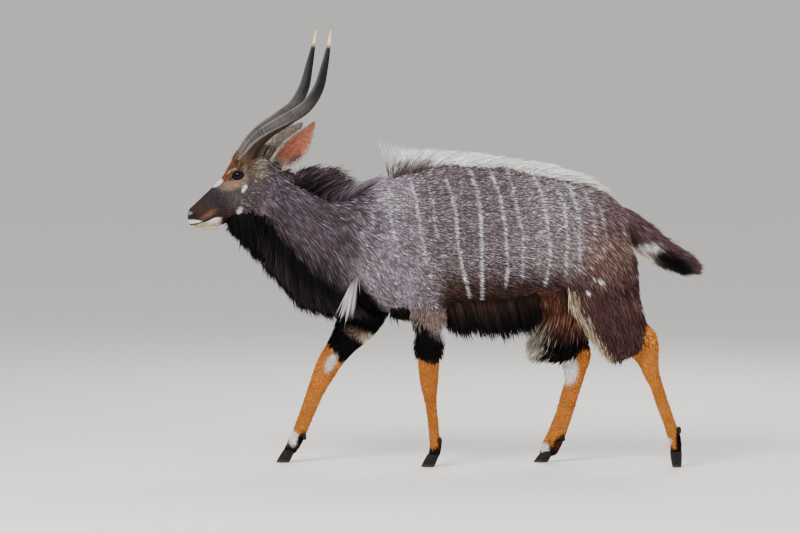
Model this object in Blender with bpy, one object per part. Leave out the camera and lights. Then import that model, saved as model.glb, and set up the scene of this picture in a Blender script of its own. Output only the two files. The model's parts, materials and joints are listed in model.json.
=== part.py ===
"""A nyala bull in mid-walk with its head turned slightly, as a life-size still museum model.

Metres, +Z up. The animal faces -X and its left side is -Y. It stands on the plane z = 0, and
the finished model is centred on the origin in X and Y. The flesh is lofted whole, smoothed, and
parted into the pieces a person would name. Long hair is built as flat tapered locks.
"""
import random
from math import cos, pi, radians, sin, sqrt, tau

import bmesh
import bpy
import numpy as np
from mathutils import Matrix, Vector
from mathutils.bvhtree import BVHTree

# Driving sizes of the whole animal.
JOINT_GAP = 0.0003          # clear space between two pieces that touch
FLESH_VOXEL = 0.0065        # grain of the flesh before it is thinned out
BODY_TRIANGLES = 3000       # triangles of the whole flesh at body fineness
HEAD_TRIANGLES = 7400       # triangles of the whole flesh at head fineness
BLEND_ROUNDS = 60           # how softly shoulders and haunches run into the trunk
BLEND_LOW = 0.54            # the height where that starts, and how far up it is in full
BLEND_DEPTH = 0.12
BLEND_FRONT = -0.62         # the stretch of the trunk that it takes in
BLEND_REAR = 0.70
SEED = 12

# The planes that part the flesh, in the frame of the drawing below.
HEAD_CUT_POINT = Vector((-0.648, 0.0, 1.030))
HEAD_CUT_NORMAL = Vector((0.954, 0.0, -0.299))
NECK_CUT_X = -0.40
SHOULDER_CUT_X = 0.07
FLANK_CUT_X = 0.33
ELBOW_CUT_Z = 0.565
STIFLE_CUT_Z = 0.63
HOCK_CUT_Z = 0.42
TAIL_CUT_POINT = Vector((0.722, 0.0, 0.905))
TAIL_CUT_NORMAL = Vector((0.969, 0.0, 0.246))

# The head is turned a little towards the viewer, about the top of the neck.
HEAD_TURN = radians(10)
HEAD_PIVOT = Vector((-0.640, 0.0, 0.0))

# Sections: x and z of the upper edge, x and z of the lower edge, half widths above and below.
HEAD = [
    (-0.966, 0.972, -0.963, 0.913, 0.021, 0.024),
    (-0.944, 0.992, -0.925, 0.899, 0.031, 0.034),
    (-0.913, 1.021, -0.871, 0.903, 0.036, 0.036),
    (-0.875, 1.057, -0.826, 0.917, 0.041, 0.038),
    (-0.841, 1.091, -0.780, 0.928, 0.052, 0.044),
    (-0.814, 1.136, -0.735, 0.939, 0.065, 0.052),
    (-0.788, 1.174, -0.693, 0.955, 0.066, 0.058),
    (-0.742, 1.190, -0.655, 0.975, 0.062, 0.060),
    (-0.689, 1.185, -0.621, 1.010, 0.056, 0.058),
]
NECK = [
    (-0.689, 1.185, -0.720, 0.945, 0.050, 0.050),
    (-0.621, 1.148, -0.689, 0.890, 0.058, 0.062),
    (-0.545, 1.091, -0.652, 0.826, 0.062, 0.075),
    (-0.470, 1.042, -0.598, 0.755, 0.068, 0.088),
    (-0.394, 1.018, -0.534, 0.683, 0.080, 0.100),
    (-0.318, 1.034, -0.451, 0.617, 0.098, 0.116),
    (-0.223, 1.087, -0.348, 0.583, 0.108, 0.122),
    (-0.120, 1.080, -0.240, 0.620, 0.100, 0.110),
]
THROAT_CORE = [
    (-0.790, 0.960, -0.800, 0.900, 0.020, 0.016),
    (-0.730, 0.960, -0.745, 0.858, 0.034, 0.026),
    (-0.670, 0.900, -0.690, 0.806, 0.044, 0.034),
    (-0.610, 0.830, -0.635, 0.738, 0.050, 0.040),
    (-0.545, 0.760, -0.565, 0.660, 0.054, 0.042),
    (-0.470, 0.690, -0.480, 0.605, 0.054, 0.040),
    (-0.380, 0.640, -0.385, 0.578, 0.050, 0.036),
]
TRUNK = [
    (-0.356, 1.030, -0.371, 0.620, 0.086, 0.100),
    (-0.242, 1.087, -0.250, 0.582, 0.118, 0.130),
    (-0.129, 1.125, -0.129, 0.576, 0.130, 0.140),
    (-0.015, 1.146, -0.015, 0.586, 0.140, 0.156),
    (0.136, 1.150, 0.136, 0.604, 0.150, 0.172),
    (0.288, 1.131, 0.288, 0.627, 0.150, 0.172),
    (0.420, 1.106, 0.409, 0.657, 0.144, 0.160),
    (0.534, 1.072, 0.515, 0.684, 0.134, 0.142),
    (0.621, 1.027, 0.606, 0.716, 0.108, 0.118),
    (0.689, 0.966, 0.674, 0.769, 0.070, 0.080),
]
# Legs: front edge, rear edge, half width outside and inside. The side is added later.
FORE_LEG_STANDING = [
    (-0.230, 1.004, -0.040, 0.985, 0.045, 0.045),
    (-0.250, 0.852, 0.020, 0.833, 0.068, 0.066),
    (-0.212, 0.730, 0.032, 0.715, 0.059, 0.057),
    (-0.148, 0.625, 0.015, 0.633, 0.046, 0.046),
    (-0.120, 0.549, 0.004, 0.557, 0.039, 0.039),
    (-0.114, 0.473, -0.004, 0.481, 0.033, 0.033),
    (-0.102, 0.413, -0.015, 0.417, 0.029, 0.029),
    (-0.098, 0.360, -0.019, 0.360, 0.028, 0.028),
    (-0.091, 0.307, -0.023, 0.307, 0.025, 0.025),
    (-0.076, 0.246, -0.027, 0.246, 0.019, 0.019),
    (-0.064, 0.170, -0.021, 0.170, 0.018, 0.018),
    (-0.059, 0.110, -0.015, 0.110, 0.020, 0.020),
    (-0.056, 0.076, -0.008, 0.080, 0.023, 0.023),
    (-0.064, 0.040, -0.018, 0.036, 0.021, 0.021),
]
FORE_LEG_REACHING = [
    (-0.345, 0.960, -0.140, 0.960, 0.045, 0.045),
    (-0.375, 0.810, -0.110, 0.832, 0.066, 0.064),
    (-0.392, 0.700, -0.150, 0.682, 0.058, 0.056),
    (-0.398, 0.606, -0.212, 0.557, 0.044, 0.044),
    (-0.417, 0.523, -0.269, 0.481, 0.037, 0.037),
    (-0.443, 0.462, -0.333, 0.428, 0.032, 0.032),
    (-0.477, 0.402, -0.383, 0.375, 0.029, 0.029),
    (-0.500, 0.345, -0.420, 0.318, 0.026, 0.026),
    (-0.523, 0.277, -0.458, 0.254, 0.020, 0.020),
    (-0.549, 0.201, -0.492, 0.178, 0.018, 0.018),
    (-0.576, 0.125, -0.523, 0.106, 0.020, 0.020),
    (-0.595, 0.083, -0.542, 0.068, 0.023, 0.023),
    (-0.612, 0.046, -0.563, 0.034, 0.021, 0.021),
]
HIND_LEG_TRAILING = [
    (0.450, 0.905, 0.650, 0.950, 0.036, 0.034),
    (0.424, 0.775, 0.720, 0.812, 0.062, 0.054),
    (0.455, 0.675, 0.733, 0.695, 0.060, 0.054),
    (0.525, 0.590, 0.740, 0.610, 0.050, 0.048),
    (0.605, 0.510, 0.762, 0.550, 0.038, 0.038),
    (0.682, 0.436, 0.796, 0.512, 0.029, 0.029),
    (0.728, 0.388, 0.808, 0.460, 0.026, 0.026),
    (0.752, 0.340, 0.809, 0.375, 0.022, 0.022),
    (0.774, 0.299, 0.824, 0.314, 0.019, 0.019),
    (0.797, 0.231, 0.846, 0.246, 0.018, 0.018),
    (0.824, 0.163, 0.869, 0.178, 0.020, 0.020),
    (0.839, 0.117, 0.888, 0.129, 0.023, 0.023),
    (0.849, 0.080, 0.896, 0.085, 0.021, 0.021),
    (0.852, 0.045, 0.894, 0.045, 0.021, 0.021),
]
HIND_LEG_FORWARD = [
    (0.400, 0.885, 0.640, 0.930, 0.036, 0.034),
    (0.350, 0.779, 0.674, 0.779, 0.062, 0.054),
    (0.342, 0.670, 0.636, 0.670, 0.060, 0.054),
    (0.364, 0.587, 0.591, 0.595, 0.050, 0.048),
    (0.394, 0.511, 0.552, 0.527, 0.040, 0.040),
    (0.422, 0.436, 0.552, 0.466, 0.031, 0.031),
    (0.441, 0.383, 0.561, 0.405, 0.026, 0.026),
    (0.458, 0.322, 0.538, 0.330, 0.022, 0.022),
    (0.443, 0.261, 0.515, 0.254, 0.019, 0.019),
    (0.424, 0.193, 0.492, 0.178, 0.018, 0.018),
    (0.394, 0.117, 0.466, 0.102, 0.021, 0.021),
    (0.371, 0.070, 0.447, 0.057, 0.023, 0.023),
    (0.362, 0.038, 0.430, 0.027, 0.021, 0.021),
]
TAIL = [
    (0.590, 1.030, 0.600, 0.950, 0.030, 0.028),
    (0.664, 0.986, 0.636, 0.918, 0.030, 0.028),
    (0.735, 0.922, 0.697, 0.872, 0.028, 0.028),
    (0.817, 0.854, 0.775, 0.806, 0.030, 0.028),
    (0.888, 0.804, 0.856, 0.766, 0.022, 0.020),
    (0.938, 0.764, 0.926, 0.748, 0.008, 0.008),
]

# Long hair as smooth forms out to its tips: edge by the body, outer edge, half widths.
CREST = [
    (-0.197, 1.034, -0.248, 1.218, 0.020, 0.004),
    (-0.148, 1.064, -0.170, 1.197, 0.024, 0.005),
    (-0.083, 1.087, -0.091, 1.193, 0.028, 0.006),
    (0.034, 1.102, 0.034, 1.186, 0.030, 0.006),
    (0.174, 1.102, 0.174, 1.167, 0.030, 0.008),
    (0.307, 1.087, 0.307, 1.144, 0.030, 0.008),
    (0.424, 1.049, 0.436, 1.125, 0.030, 0.008),
    (0.545, 1.004, 0.568, 1.076, 0.028, 0.008),
    (0.602, 0.958, 0.633, 1.027, 0.024, 0.008),
]
NAPE = [
    (-0.568, 1.042, -0.561, 1.110, 0.030, 0.010),
    (-0.527, 1.004, -0.500, 1.110, 0.036, 0.010),
    (-0.462, 0.985, -0.432, 1.121, 0.040, 0.010),
    (-0.386, 0.966, -0.364, 1.114, 0.044, 0.012),
    (-0.326, 0.966, -0.311, 1.068, 0.044, 0.014),
]
FRINGE = [
    (-0.788, 0.985, -0.826, 0.905, 0.030, 0.012),
    (-0.735, 0.958, -0.765, 0.826, 0.048, 0.016),
    (-0.674, 0.928, -0.712, 0.769, 0.060, 0.018),
    (-0.636, 0.871, -0.670, 0.712, 0.068, 0.020),
    (-0.576, 0.795, -0.606, 0.652, 0.072, 0.022),
    (-0.500, 0.720, -0.530, 0.568, 0.064, 0.022),
    (-0.386, 0.644, -0.413, 0.542, 0.050, 0.022),
    (-0.235, 0.606, -0.235, 0.545, 0.036, 0.018),
]
NECK_LOW = [
    (-0.650, 0.960, -0.640, 0.850, 0.0, 0.0),
    (-0.590, 0.890, -0.570, 0.760, 0.0, 0.0),
    (-0.520, 0.820, -0.490, 0.680, 0.0, 0.0),
    (-0.440, 0.770, -0.400, 0.630, 0.0, 0.0),
    (-0.360, 0.750, -0.330, 0.600, 0.0, 0.0),
]
NECK_HIGH = [
    (-0.610, 1.080, -0.590, 0.950, 0.0, 0.0),
    (-0.550, 1.010, -0.520, 0.880, 0.0, 0.0),
    (-0.490, 0.960, -0.450, 0.820, 0.0, 0.0),
    (-0.420, 0.930, -0.370, 0.780, 0.0, 0.0),
    (-0.350, 0.910, -0.300, 0.760, 0.0, 0.0),
]
BELLY_FRINGE = [
    (-0.197, 0.606, -0.197, 0.557, 0.030, 0.014),
    (-0.072, 0.625, -0.072, 0.542, 0.030, 0.014),
    (0.042, 0.633, 0.042, 0.500, 0.034, 0.012),
    (0.174, 0.633, 0.174, 0.485, 0.040, 0.012),
    (0.300, 0.640, 0.303, 0.489, 0.036, 0.012),
    (0.386, 0.682, 0.383, 0.557, 0.030, 0.012),
]
SKIRT_TRAILING = [
    (0.409, 0.670, 0.746, 0.663, 0.062, 0.062),
    (0.462, 0.595, 0.750, 0.580, 0.056, 0.056),
    (0.534, 0.500, 0.754, 0.511, 0.048, 0.048),
    (0.587, 0.428, 0.742, 0.455, 0.040, 0.040),
    (0.640, 0.364, 0.697, 0.420, 0.024, 0.024),
]
SKIRT_FORWARD = [
    (0.367, 0.663, 0.591, 0.644, 0.062, 0.062),
    (0.326, 0.549, 0.561, 0.542, 0.054, 0.054),
    (0.307, 0.473, 0.545, 0.455, 0.046, 0.046),
    (0.303, 0.417, 0.508, 0.405, 0.036, 0.036),
    (0.320, 0.371, 0.409, 0.375, 0.022, 0.022),
]

# Where each leg stands across the body: high up, and at the hoof.
LEGS = {
    "foreleg_left": (FORE_LEG_STANDING, -0.072, -0.082),
    "foreleg_right": (FORE_LEG_REACHING, 0.072, 0.082),
    "hindleg_left": (HIND_LEG_TRAILING, -0.092, -0.088),
    "hindleg_right": (HIND_LEG_FORWARD, 0.092, 0.088),
}
LOCKED_NODES = ("head", "neck", "forequarters", "barrel", "hindquarters", "thigh_left",
                "thigh_right", "tail")
LOCK_STEPS = ((0.0, 0.82), (0.44, 1.0), (0.77, 0.68))   # places along a lock, and its width there
LOCK_TILT = 0.30            # how far each lock leans over the next one, as tiles do
LOCK_CLEARANCE = 0.0012
LOCK_TRIES = 12
NEIGHBOUR_TRIES = 5
ROOT_DEPTH = 0.010
ROOT_SEARCH = 0.12          # how far out from the drawn root the skin is looked for
ESCAPE = 0.004              # the step by which a lock is bent away from what it would cross
FUSE_TRIES = 10
SEAM_TOUCH = 0.0000003      # points this close count as one
SEAM_REACH = 0.002          # a lock this close to a bad seam is moved
SEAM_NUDGE = 0.0007         # and by so much
# Rows of locks, grown on the left and then on the right: the form that they fill, how many,
# their distance from the middle at root and tip, how far the roots lag behind the tips.
HAIR_ROWS = (
    dict(form=CREST, count=4, y_root=0.010, y_tip=0.016, width=0.026, thickness=0.007,
         span=(0.0, 0.20), bow=(0.10, 0, 0), erect=True),
    dict(form=CREST, count=13, y_root=0.008, y_tip=0.012, width=0.036, thickness=0.006, lag=0.09,
         span=(0.20, 1.0), bow=(0, 0, 0.12), erect=True),
    dict(form=NAPE, count=6, y_root=0.016, y_tip=0.028, width=0.038, thickness=0.008, lag=0.20,
         span=(0.0, 0.9), bow=(0, 0, 0.14), erect=True),
    dict(form=FRINGE, count=14, y_root=0.018, y_tip=0.012, width=0.042, thickness=0.009, lag=0.10,
         bow=(-0.08, 0, 0)),
    dict(form=FRINGE, count=10, y_root=0.056, y_tip=0.044, width=0.046, thickness=0.010, lag=0.13,
         span=(0.12, 0.95), reach=0.88, bow=(-0.05, 0.14, 0)),
    dict(form=NECK_LOW, count=6, y_root=0.095, y_tip=0.098, width=0.046, thickness=0.008, lag=0.10,
         bow=(0, 0.14, 0)),
    dict(form=NECK_HIGH, count=6, y_root=0.080, y_tip=0.104, width=0.046, thickness=0.008, lag=0.10,
         bow=(0, 0.14, 0)),
    dict(form=BELLY_FRINGE, count=12, y_root=0.018, y_tip=0.013, width=0.042, thickness=0.008,
         lag=0.02, bow=(-0.05, 0, 0)),
)
# Rows of a skirt: height of the roots and of the tips down the form, locks, distance outwards.
SKIRT_ROWS = ((0.54, 0.98, 6, 0.004), (0.24, 0.72, 7, 0.020))
SKIRT_LOCK_WIDTH = 0.046
SKIRT_LOCK_THICKNESS = 0.010
# Tiers of the tail brush: place along the core, spread of the tips, length, locks in the tier.
BRUSH_TIERS = ((0.95, 0.008, 0.085, 3), (0.80, 0.026, 0.110, 5), (0.63, 0.040, 0.120, 6),
               (0.46, 0.050, 0.125, 6))
BRUSH_LOCK_WIDTH = 0.038
BRUSH_LOCK_THICKNESS = 0.008
# Dewclaws: place above and behind each fetlock, and how far their points lean back.
DEWCLAWS = {
    "foreleg_left": (-0.020, 0.108, 0.30),
    "foreleg_right": (-0.538, 0.108, 0.55),
    "hindleg_left": (0.881, 0.150, 0.25),
    "hindleg_right": (0.449, 0.104, 0.40),
}
DEWCLAW_SPREAD = 0.011
DEWCLAW_RADII = [0.0090, 0.0090, 0.0040]
DEWCLAW_LENGTH = 0.024
LEG_TUCK = 0.35             # how far the top of a leg is drawn in under the flank
LEG_TUCK_ROWS = 3           # over how many rows from the top
# Hooves: the leg above, the x of the middle of the coronet and its height, how far the toe
# leans forward, and the length of the sole.
HOOVES = {
    "hoof_fore_left": ("foreleg_left", -0.041, 0.045, 0.022, 0.050),
    "hoof_fore_right": ("foreleg_right", -0.588, 0.045, 0.026, 0.050),
    "hoof_hind_left": ("hindleg_left", 0.873, 0.056, -0.004, 0.034),
    "hoof_hind_right": ("hindleg_right", 0.396, 0.040, 0.028, 0.054),
}

EYE_CENTRE = Vector((-0.785, 0.0392, 1.098))
EYE_RADIUS = 0.0205
EYE_OPENING = (0.0172, 0.0125)      # half length and half height of the almond between the lids
LID_THICKNESS = 0.0050
LID_SIDES = 14
EYE_MESH = {"rings": 8, "sides": 12}

# The line of the mouth on one side, from its corner to the front, and the nostril.
MOUTH_LINE = [
    (-0.875, 0.0375, 0.942),
    (-0.897, 0.0365, 0.931),
    (-0.918, 0.0335, 0.923),
    (-0.938, 0.0290, 0.917),
    (-0.956, 0.0190, 0.915),
    (-0.966, 0.0070, 0.915),
]
LIP_RADIUS = 0.0044
LIP_APART = 0.0055
LIP_SUNK = 0.0014
MOUTH_CUT_OUT = 0.010
MOUTH_CUT_IN = 0.007
MOUTH_CUT_HALF = 0.0026
NOSTRIL = [(-0.972, 0.0120, 0.951), (-0.964, 0.0190, 0.945), (-0.953, 0.0250, 0.949),
           (-0.945, 0.0300, 0.959)]
NOSTRIL_RADII = [0.0035, 0.0052, 0.0045, 0.0022]

# Ears: the middle of the base, the tip, and the way the cup faces.
EARS = {
    "ear_left": ((-0.640, -0.050, 1.130), (-0.507, -0.125, 1.300), (0.25, -1, 0.05)),
    "ear_right": ((-0.668, 0.048, 1.148), (-0.516, 0.126, 1.290), (-0.35, 1, 0.05)),
}
EAR_WIDTH = 0.098
EAR_THICKNESS = 0.0035
EAR_ROLL = 1.25             # how far the edges of the ear roll in at its base, in radians
EAR_UNROLL = 0.75           # how much less at its tip

# Horn centre line in side view and its distance from the middle plane, from base to tip.
HORN_PATH = [
    (-0.766, 0.033, 1.150),
    (-0.723, 0.047, 1.217),
    (-0.674, 0.074, 1.266),
    (-0.604, 0.110, 1.313),
    (-0.543, 0.144, 1.358),
    (-0.501, 0.172, 1.425),
    (-0.479, 0.184, 1.508),
    (-0.463, 0.182, 1.584),
    (-0.453, 0.178, 1.645),
]
HORN_RADII = [0.032, 0.031, 0.028, 0.0255, 0.024, 0.021, 0.015, 0.008, 0.0018]

COLOURS = {
    "coat": (0.098, 0.076, 0.062, 0.92),
    "dark": (0.026, 0.019, 0.016, 0.95),
    "neck": (0.052, 0.038, 0.034, 0.95),
    "leg": (0.400, 0.165, 0.055, 0.85),
    "horn": (0.120, 0.105, 0.090, 0.55),
    "hoof": (0.030, 0.026, 0.024, 0.45),
    "eye": (0.006, 0.004, 0.003, 0.08),
    "ear": (0.330, 0.170, 0.105, 0.85),
}


def link(name, mesh):
    """Put a mesh in the scene as an object."""
    piece = bpy.data.objects.new(name, mesh)
    bpy.context.scene.collection.objects.link(piece)
    return piece


def mesh_from(name, points, faces):
    """A closed mesh with its faces turned outwards."""
    mesh = bpy.data.meshes.new(name)
    mesh.from_pydata([tuple(p) for p in points], [], faces)
    work = bmesh.new()
    work.from_mesh(mesh)
    bmesh.ops.recalc_face_normals(work, faces=work.faces[:])
    if work.calc_volume(signed=True) < 0:
        bmesh.ops.reverse_faces(work, faces=work.faces[:])
    work.to_mesh(mesh)
    work.free()
    return mesh


def settle(piece):
    """Replace an object's mesh by what its modifiers make of it."""
    bpy.context.view_layer.update()
    evaluated = piece.evaluated_get(bpy.context.evaluated_depsgraph_get())
    finished = bpy.data.meshes.new_from_object(evaluated)
    piece.modifiers.clear()
    piece.data = finished
    return piece


def discard(pieces):
    for piece in pieces:
        bpy.data.objects.remove(piece, do_unlink=True)


def curve_through(rows, steps):
    """Rows on a smooth curve through the given rows, with some steps for each span."""
    rows = np.array(rows, dtype=float)
    padded = np.vstack([2 * rows[0] - rows[1], rows, 2 * rows[-1] - rows[-2]])
    samples = []
    for i in range(len(rows) - 1):
        before, start, end, after = padded[i:i + 4]
        for t in np.arange(steps) / steps:
            line = 2 * start + (end - before) * t
            bend = (2 * before - 5 * start + 4 * end - after) * t ** 2
            twist = (3 * start - before - 3 * end + after) * t ** 3
            samples.append((line + bend + twist) / 2)
    samples.append(rows[-1])
    return np.array(samples)


def skin_rings(rings):
    """Points and faces of a tube over rings of equal size, closed by a point at each end."""
    sides = len(rings[0])
    points = [p for ring in rings for p in ring]
    faces = []
    for i in range(len(rings) - 1):
        for k in range(sides):
            a, b = i * sides + k, i * sides + (k + 1) % sides
            faces.append((a, b, b + sides, a + sides))
    for ring, start in ((rings[0], 0), (rings[-1], (len(rings) - 1) * sides)):
        points.append(sum(ring, Vector()) / sides)
        hub = len(points) - 1
        faces += [(start + k, start + (k + 1) % sides, hub) for k in range(sides)]
    return points, faces


def loft(name, rows, y_high=0.0, y_low=0.0, sides=24, steps=4, dome=0.5, tuck=0.0):
    """A limb or trunk over sections given by two edges and their half widths."""
    sections = curve_through(rows, steps)
    rings = []
    for i, (x1, z1, x2, z2, outer, inner) in enumerate(sections):
        share = i / (len(sections) - 1)
        y = (y_high + (y_low - y_high) * share) * (1 - tuck * max(0, 1 - i / (LEG_TUCK_ROWS * steps)))
        edge_a, edge_b = Vector((x1, y, z1)), Vector((x2, y, z2))
        middle, half = (edge_a + edge_b) / 2, (edge_a - edge_b) / 2
        ring = []
        for k in range(sides):
            turn = tau * k / sides
            width = outer * (1 + cos(turn)) / 2 + inner * (1 - cos(turn)) / 2
            ring.append(middle + half * cos(turn) + Vector((0, width * sin(turn), 0)))
        rings.append(ring)
    rings = [domed_end(rings[0], rings[1], dome)] + rings + [domed_end(rings[-1], rings[-2], dome)]
    return link(name, mesh_from(name, *skin_rings(rings)))


def domed_end(ring, neighbour, dome):
    """A smaller ring just past the end of a loft, to round it off."""
    middle = sum(ring, Vector()) / len(ring)
    inward = sum(neighbour, Vector()) / len(neighbour)
    reach = (ring[0] - middle).length * 0.25
    outward = (middle - inward).normalized() * reach
    return [middle + (p - middle) * dome + outward for p in ring]


def turn_head(piece):
    """Turn a piece of the head towards the viewer with the head itself."""
    turn = Matrix.Translation(HEAD_PIVOT) @ Matrix.Rotation(HEAD_TURN, 4, "Z")
    piece.data.transform(turn @ Matrix.Translation(-HEAD_PIVOT))
    return piece


def head_point(point):
    """Where a drawn point of the head is once the head is turned."""
    turn = Matrix.Rotation(HEAD_TURN, 3, "Z")
    return HEAD_PIVOT + turn @ (Vector(point) - HEAD_PIVOT)


def join_closed(name, pieces):
    """One mesh holding several closed pieces, which the voxel remesh then fuses."""
    whole = bmesh.new()
    for piece in pieces:
        whole.from_mesh(piece.data)
    mesh = bpy.data.meshes.new(name)
    whole.to_mesh(mesh)
    whole.free()
    discard(pieces)
    return link(name, mesh)


def make_flesh():
    """The whole animal without hair, horns, ears and hooves, as one smooth closed form."""
    parts = [
        turn_head(loft("head_form", HEAD)),
        loft("neck_form", NECK),
        loft("throat_form", THROAT_CORE),
        loft("trunk_form", TRUNK, sides=32),
        loft("tail_form", TAIL),
    ]
    for name, (rows, y_high, y_low) in LEGS.items():
        parts.append(loft(name + "_form", rows, y_high, y_low, sides=20, tuck=LEG_TUCK))
    flesh = join_closed("flesh", parts)
    remesh = flesh.modifiers.new("fuse", "REMESH")
    remesh.mode = "VOXEL"
    remesh.voxel_size = FLESH_VOXEL
    smooth = flesh.modifiers.new("soften", "SMOOTH")
    smooth.factor = 0.5
    smooth.iterations = 8
    settle(flesh)
    trunk = flesh.vertex_groups.new(name="trunk")
    for vertex in flesh.data.vertices:
        weight = min(max((vertex.co.z - BLEND_LOW) / BLEND_DEPTH, 0), 1)
        if weight > 0 and BLEND_FRONT < vertex.co.x < BLEND_REAR:
            trunk.add([vertex.index], weight, "REPLACE")
    blend = flesh.modifiers.new("blend", "SMOOTH")
    blend.vertex_group = trunk.name
    blend.factor = 0.5
    blend.iterations = BLEND_ROUNDS
    return settle(flesh)


def thinned(source, name, triangles):
    """A copy of a mesh brought down to about so many triangles."""
    copy = link(name, source.data.copy())
    decimate = copy.modifiers.new("thin", "DECIMATE")
    decimate.ratio = triangles / (2 * len(source.data.polygons))
    return settle(copy)


def part_off(source, name, planes):
    """The piece of a mesh behind every plane, with flat closed cuts, kept as one body."""
    work = bmesh.new()
    work.from_mesh(source.data)
    for point, normal in planes:
        normal = Vector(normal).normalized()
        geometry = work.verts[:] + work.edges[:] + work.faces[:]
        bmesh.ops.bisect_plane(work, geom=geometry, dist=1e-6, plane_no=normal, clear_outer=True,
                               plane_co=Vector(point) - normal * JOINT_GAP / 2)
        open_edges = [e for e in work.edges if e.is_boundary]
        bmesh.ops.holes_fill(work, edges=open_edges, sides=0)
    bmesh.ops.recalc_face_normals(work, faces=work.faces[:])
    bmesh.ops.triangulate(work, faces=work.faces[:])
    mesh = bpy.data.meshes.new(name)
    work.to_mesh(mesh)
    work.free()
    piece = link(name, mesh)
    return keep_largest(piece)


def keep_largest(piece):
    """Keep the closed surface with the greatest volume, without loose scraps."""
    work = bmesh.new()
    work.from_mesh(piece.data)
    bmesh.ops.triangulate(work, faces=work.faces[:])
    unseen = set(work.verts)
    shells = []
    while unseen:
        front = [unseen.pop()]
        shell = set(front)
        while front:
            vertex = front.pop()
            for edge in vertex.link_edges:
                other = edge.other_vert(vertex)
                if other in unseen:
                    unseen.discard(other)
                    shell.add(other)
                    front.append(other)
        faces = {f for v in shell for f in v.link_faces}
        volume = sum(f.verts[0].co.dot(f.verts[1].co.cross(f.verts[2].co)) for f in faces
                     if len(f.verts) == 3) / 6
        shells.append((volume, shell))
    best = max(shells, key=lambda entry: entry[0])[1]
    loose = [v for v in work.verts if v not in best]
    bmesh.ops.delete(work, geom=loose, context="VERTS")
    bmesh.ops.triangulate(work, faces=work.faces[:])
    work.to_mesh(piece.data)
    work.free()
    return piece


def combine(piece, others, operation, solver="EXACT"):
    """Join closed pieces to a piece, or cut them out of it, in one Boolean."""
    group = bpy.data.collections.new(piece.name + "_group")
    bpy.context.scene.collection.children.link(group)
    for other in others:
        bpy.context.scene.collection.objects.unlink(other)
        group.objects.link(other)
    boolean = piece.modifiers.new("combine", "BOOLEAN")
    boolean.operation = operation
    boolean.operand_type = "COLLECTION"
    boolean.collection = group
    boolean.solver = solver
    settle(piece)
    discard(others)
    bpy.data.collections.remove(group)
    return keep_largest(piece)


def grown(source, name, distance):
    """A copy of a closed mesh moved outwards along its normals."""
    copy = link(name, source.data.copy())
    for vertex in copy.data.vertices:
        vertex.co += vertex.normal * distance
    return copy


def ball(name, centre, radii, rings=8, sides=14):
    """An ellipsoid of quads and triangles."""
    hoops = []
    for i in range(1, rings):
        polar = pi * i / rings
        hoop = []
        for k in range(sides):
            turn = tau * k / sides
            offset = (radii[0] * sin(polar) * cos(turn), radii[1] * cos(polar),
                      radii[2] * sin(polar) * sin(turn))
            hoop.append(Vector(centre) + Vector(offset))
        hoops.append(hoop)
    points, faces = skin_rings(hoops)
    points[-2] = Vector(centre) + Vector((0, radii[1], 0))
    points[-1] = Vector(centre) - Vector((0, radii[1], 0))
    return link(name, mesh_from(name, points, faces))


def tube_along(name, path, radii, sides=6, closed=False):
    """A tube over a path of points, with a radius at each."""
    count = len(path)
    rings = []
    for i, point in enumerate(path):
        before = path[(i - 1) % count] if closed or i > 0 else path[i]
        after = path[(i + 1) % count] if closed or i < count - 1 else path[i]
        ahead = (after - before).normalized()
        side = ahead.cross(Vector((0.03, 1.0, 0.02))).normalized()
        up = side.cross(ahead).normalized()
        rings.append([point + (side * cos(tau * k / sides) + up * sin(tau * k / sides)) * radii[i]
                      for k in range(sides)])
    if not closed:
        return link(name, mesh_from(name, *skin_rings(rings)))
    points = [p for ring in rings for p in ring]
    faces = []
    for i in range(count):
        for k in range(sides):
            a, b = i * sides + k, i * sides + (k + 1) % sides
            c, d = (i + 1) % count * sides + (k + 1) % sides, (i + 1) % count * sides + k
            faces.append((a, b, c, d))
    return link(name, mesh_from(name, points, faces))


def eye_frame(side):
    """Centre of an eye and its forward, upward and outward directions."""
    centre = Vector((EYE_CENTRE.x, EYE_CENTRE.y * side, EYE_CENTRE.z))
    outward = Vector((-0.28, 0.94 * side, 0.10)).normalized()
    muzzle_way = Vector((-0.93, 0, -0.20))
    forward = (muzzle_way - outward * outward.dot(muzzle_way)).normalized()
    upward = forward.cross(outward) * side
    if upward.z < 0:
        upward = -upward
    return centre, forward, upward, outward


def make_lid(side):
    """The rim of both lids, an almond ring that lies on the eyeball."""
    centre, forward, upward, outward = eye_frame(side)
    path = []
    for k in range(LID_SIDES):
        turn = tau * k / LID_SIDES
        along, across = EYE_OPENING[0] * cos(turn), EYE_OPENING[1] * sin(turn)
        depth = sqrt(max(EYE_RADIUS ** 2 - along ** 2 - across ** 2, 0.0)) - 0.0012
        path.append(centre + forward * along + upward * across + outward * depth)
    return turn_head(tube_along("lid", path, [LID_THICKNESS] * LID_SIDES, sides=5, closed=True))


def on_skin(skin, point, push_out):
    """The place on the turned head nearest to a drawn point, moved out of or into the skin."""
    place, normal, _, _ = skin.find_nearest(head_point(point))
    return place + normal * push_out


def lip_path(skin, raise_by, push_out):
    """The line of the mouth from one corner round the muzzle to the other."""
    points = [(x, -y, z) for x, y, z in MOUTH_LINE] + [(x, y, z) for x, y, z in reversed(MOUTH_LINE)]
    return [on_skin(skin, (x, y, z + raise_by), push_out) for x, y, z in points]


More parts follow.
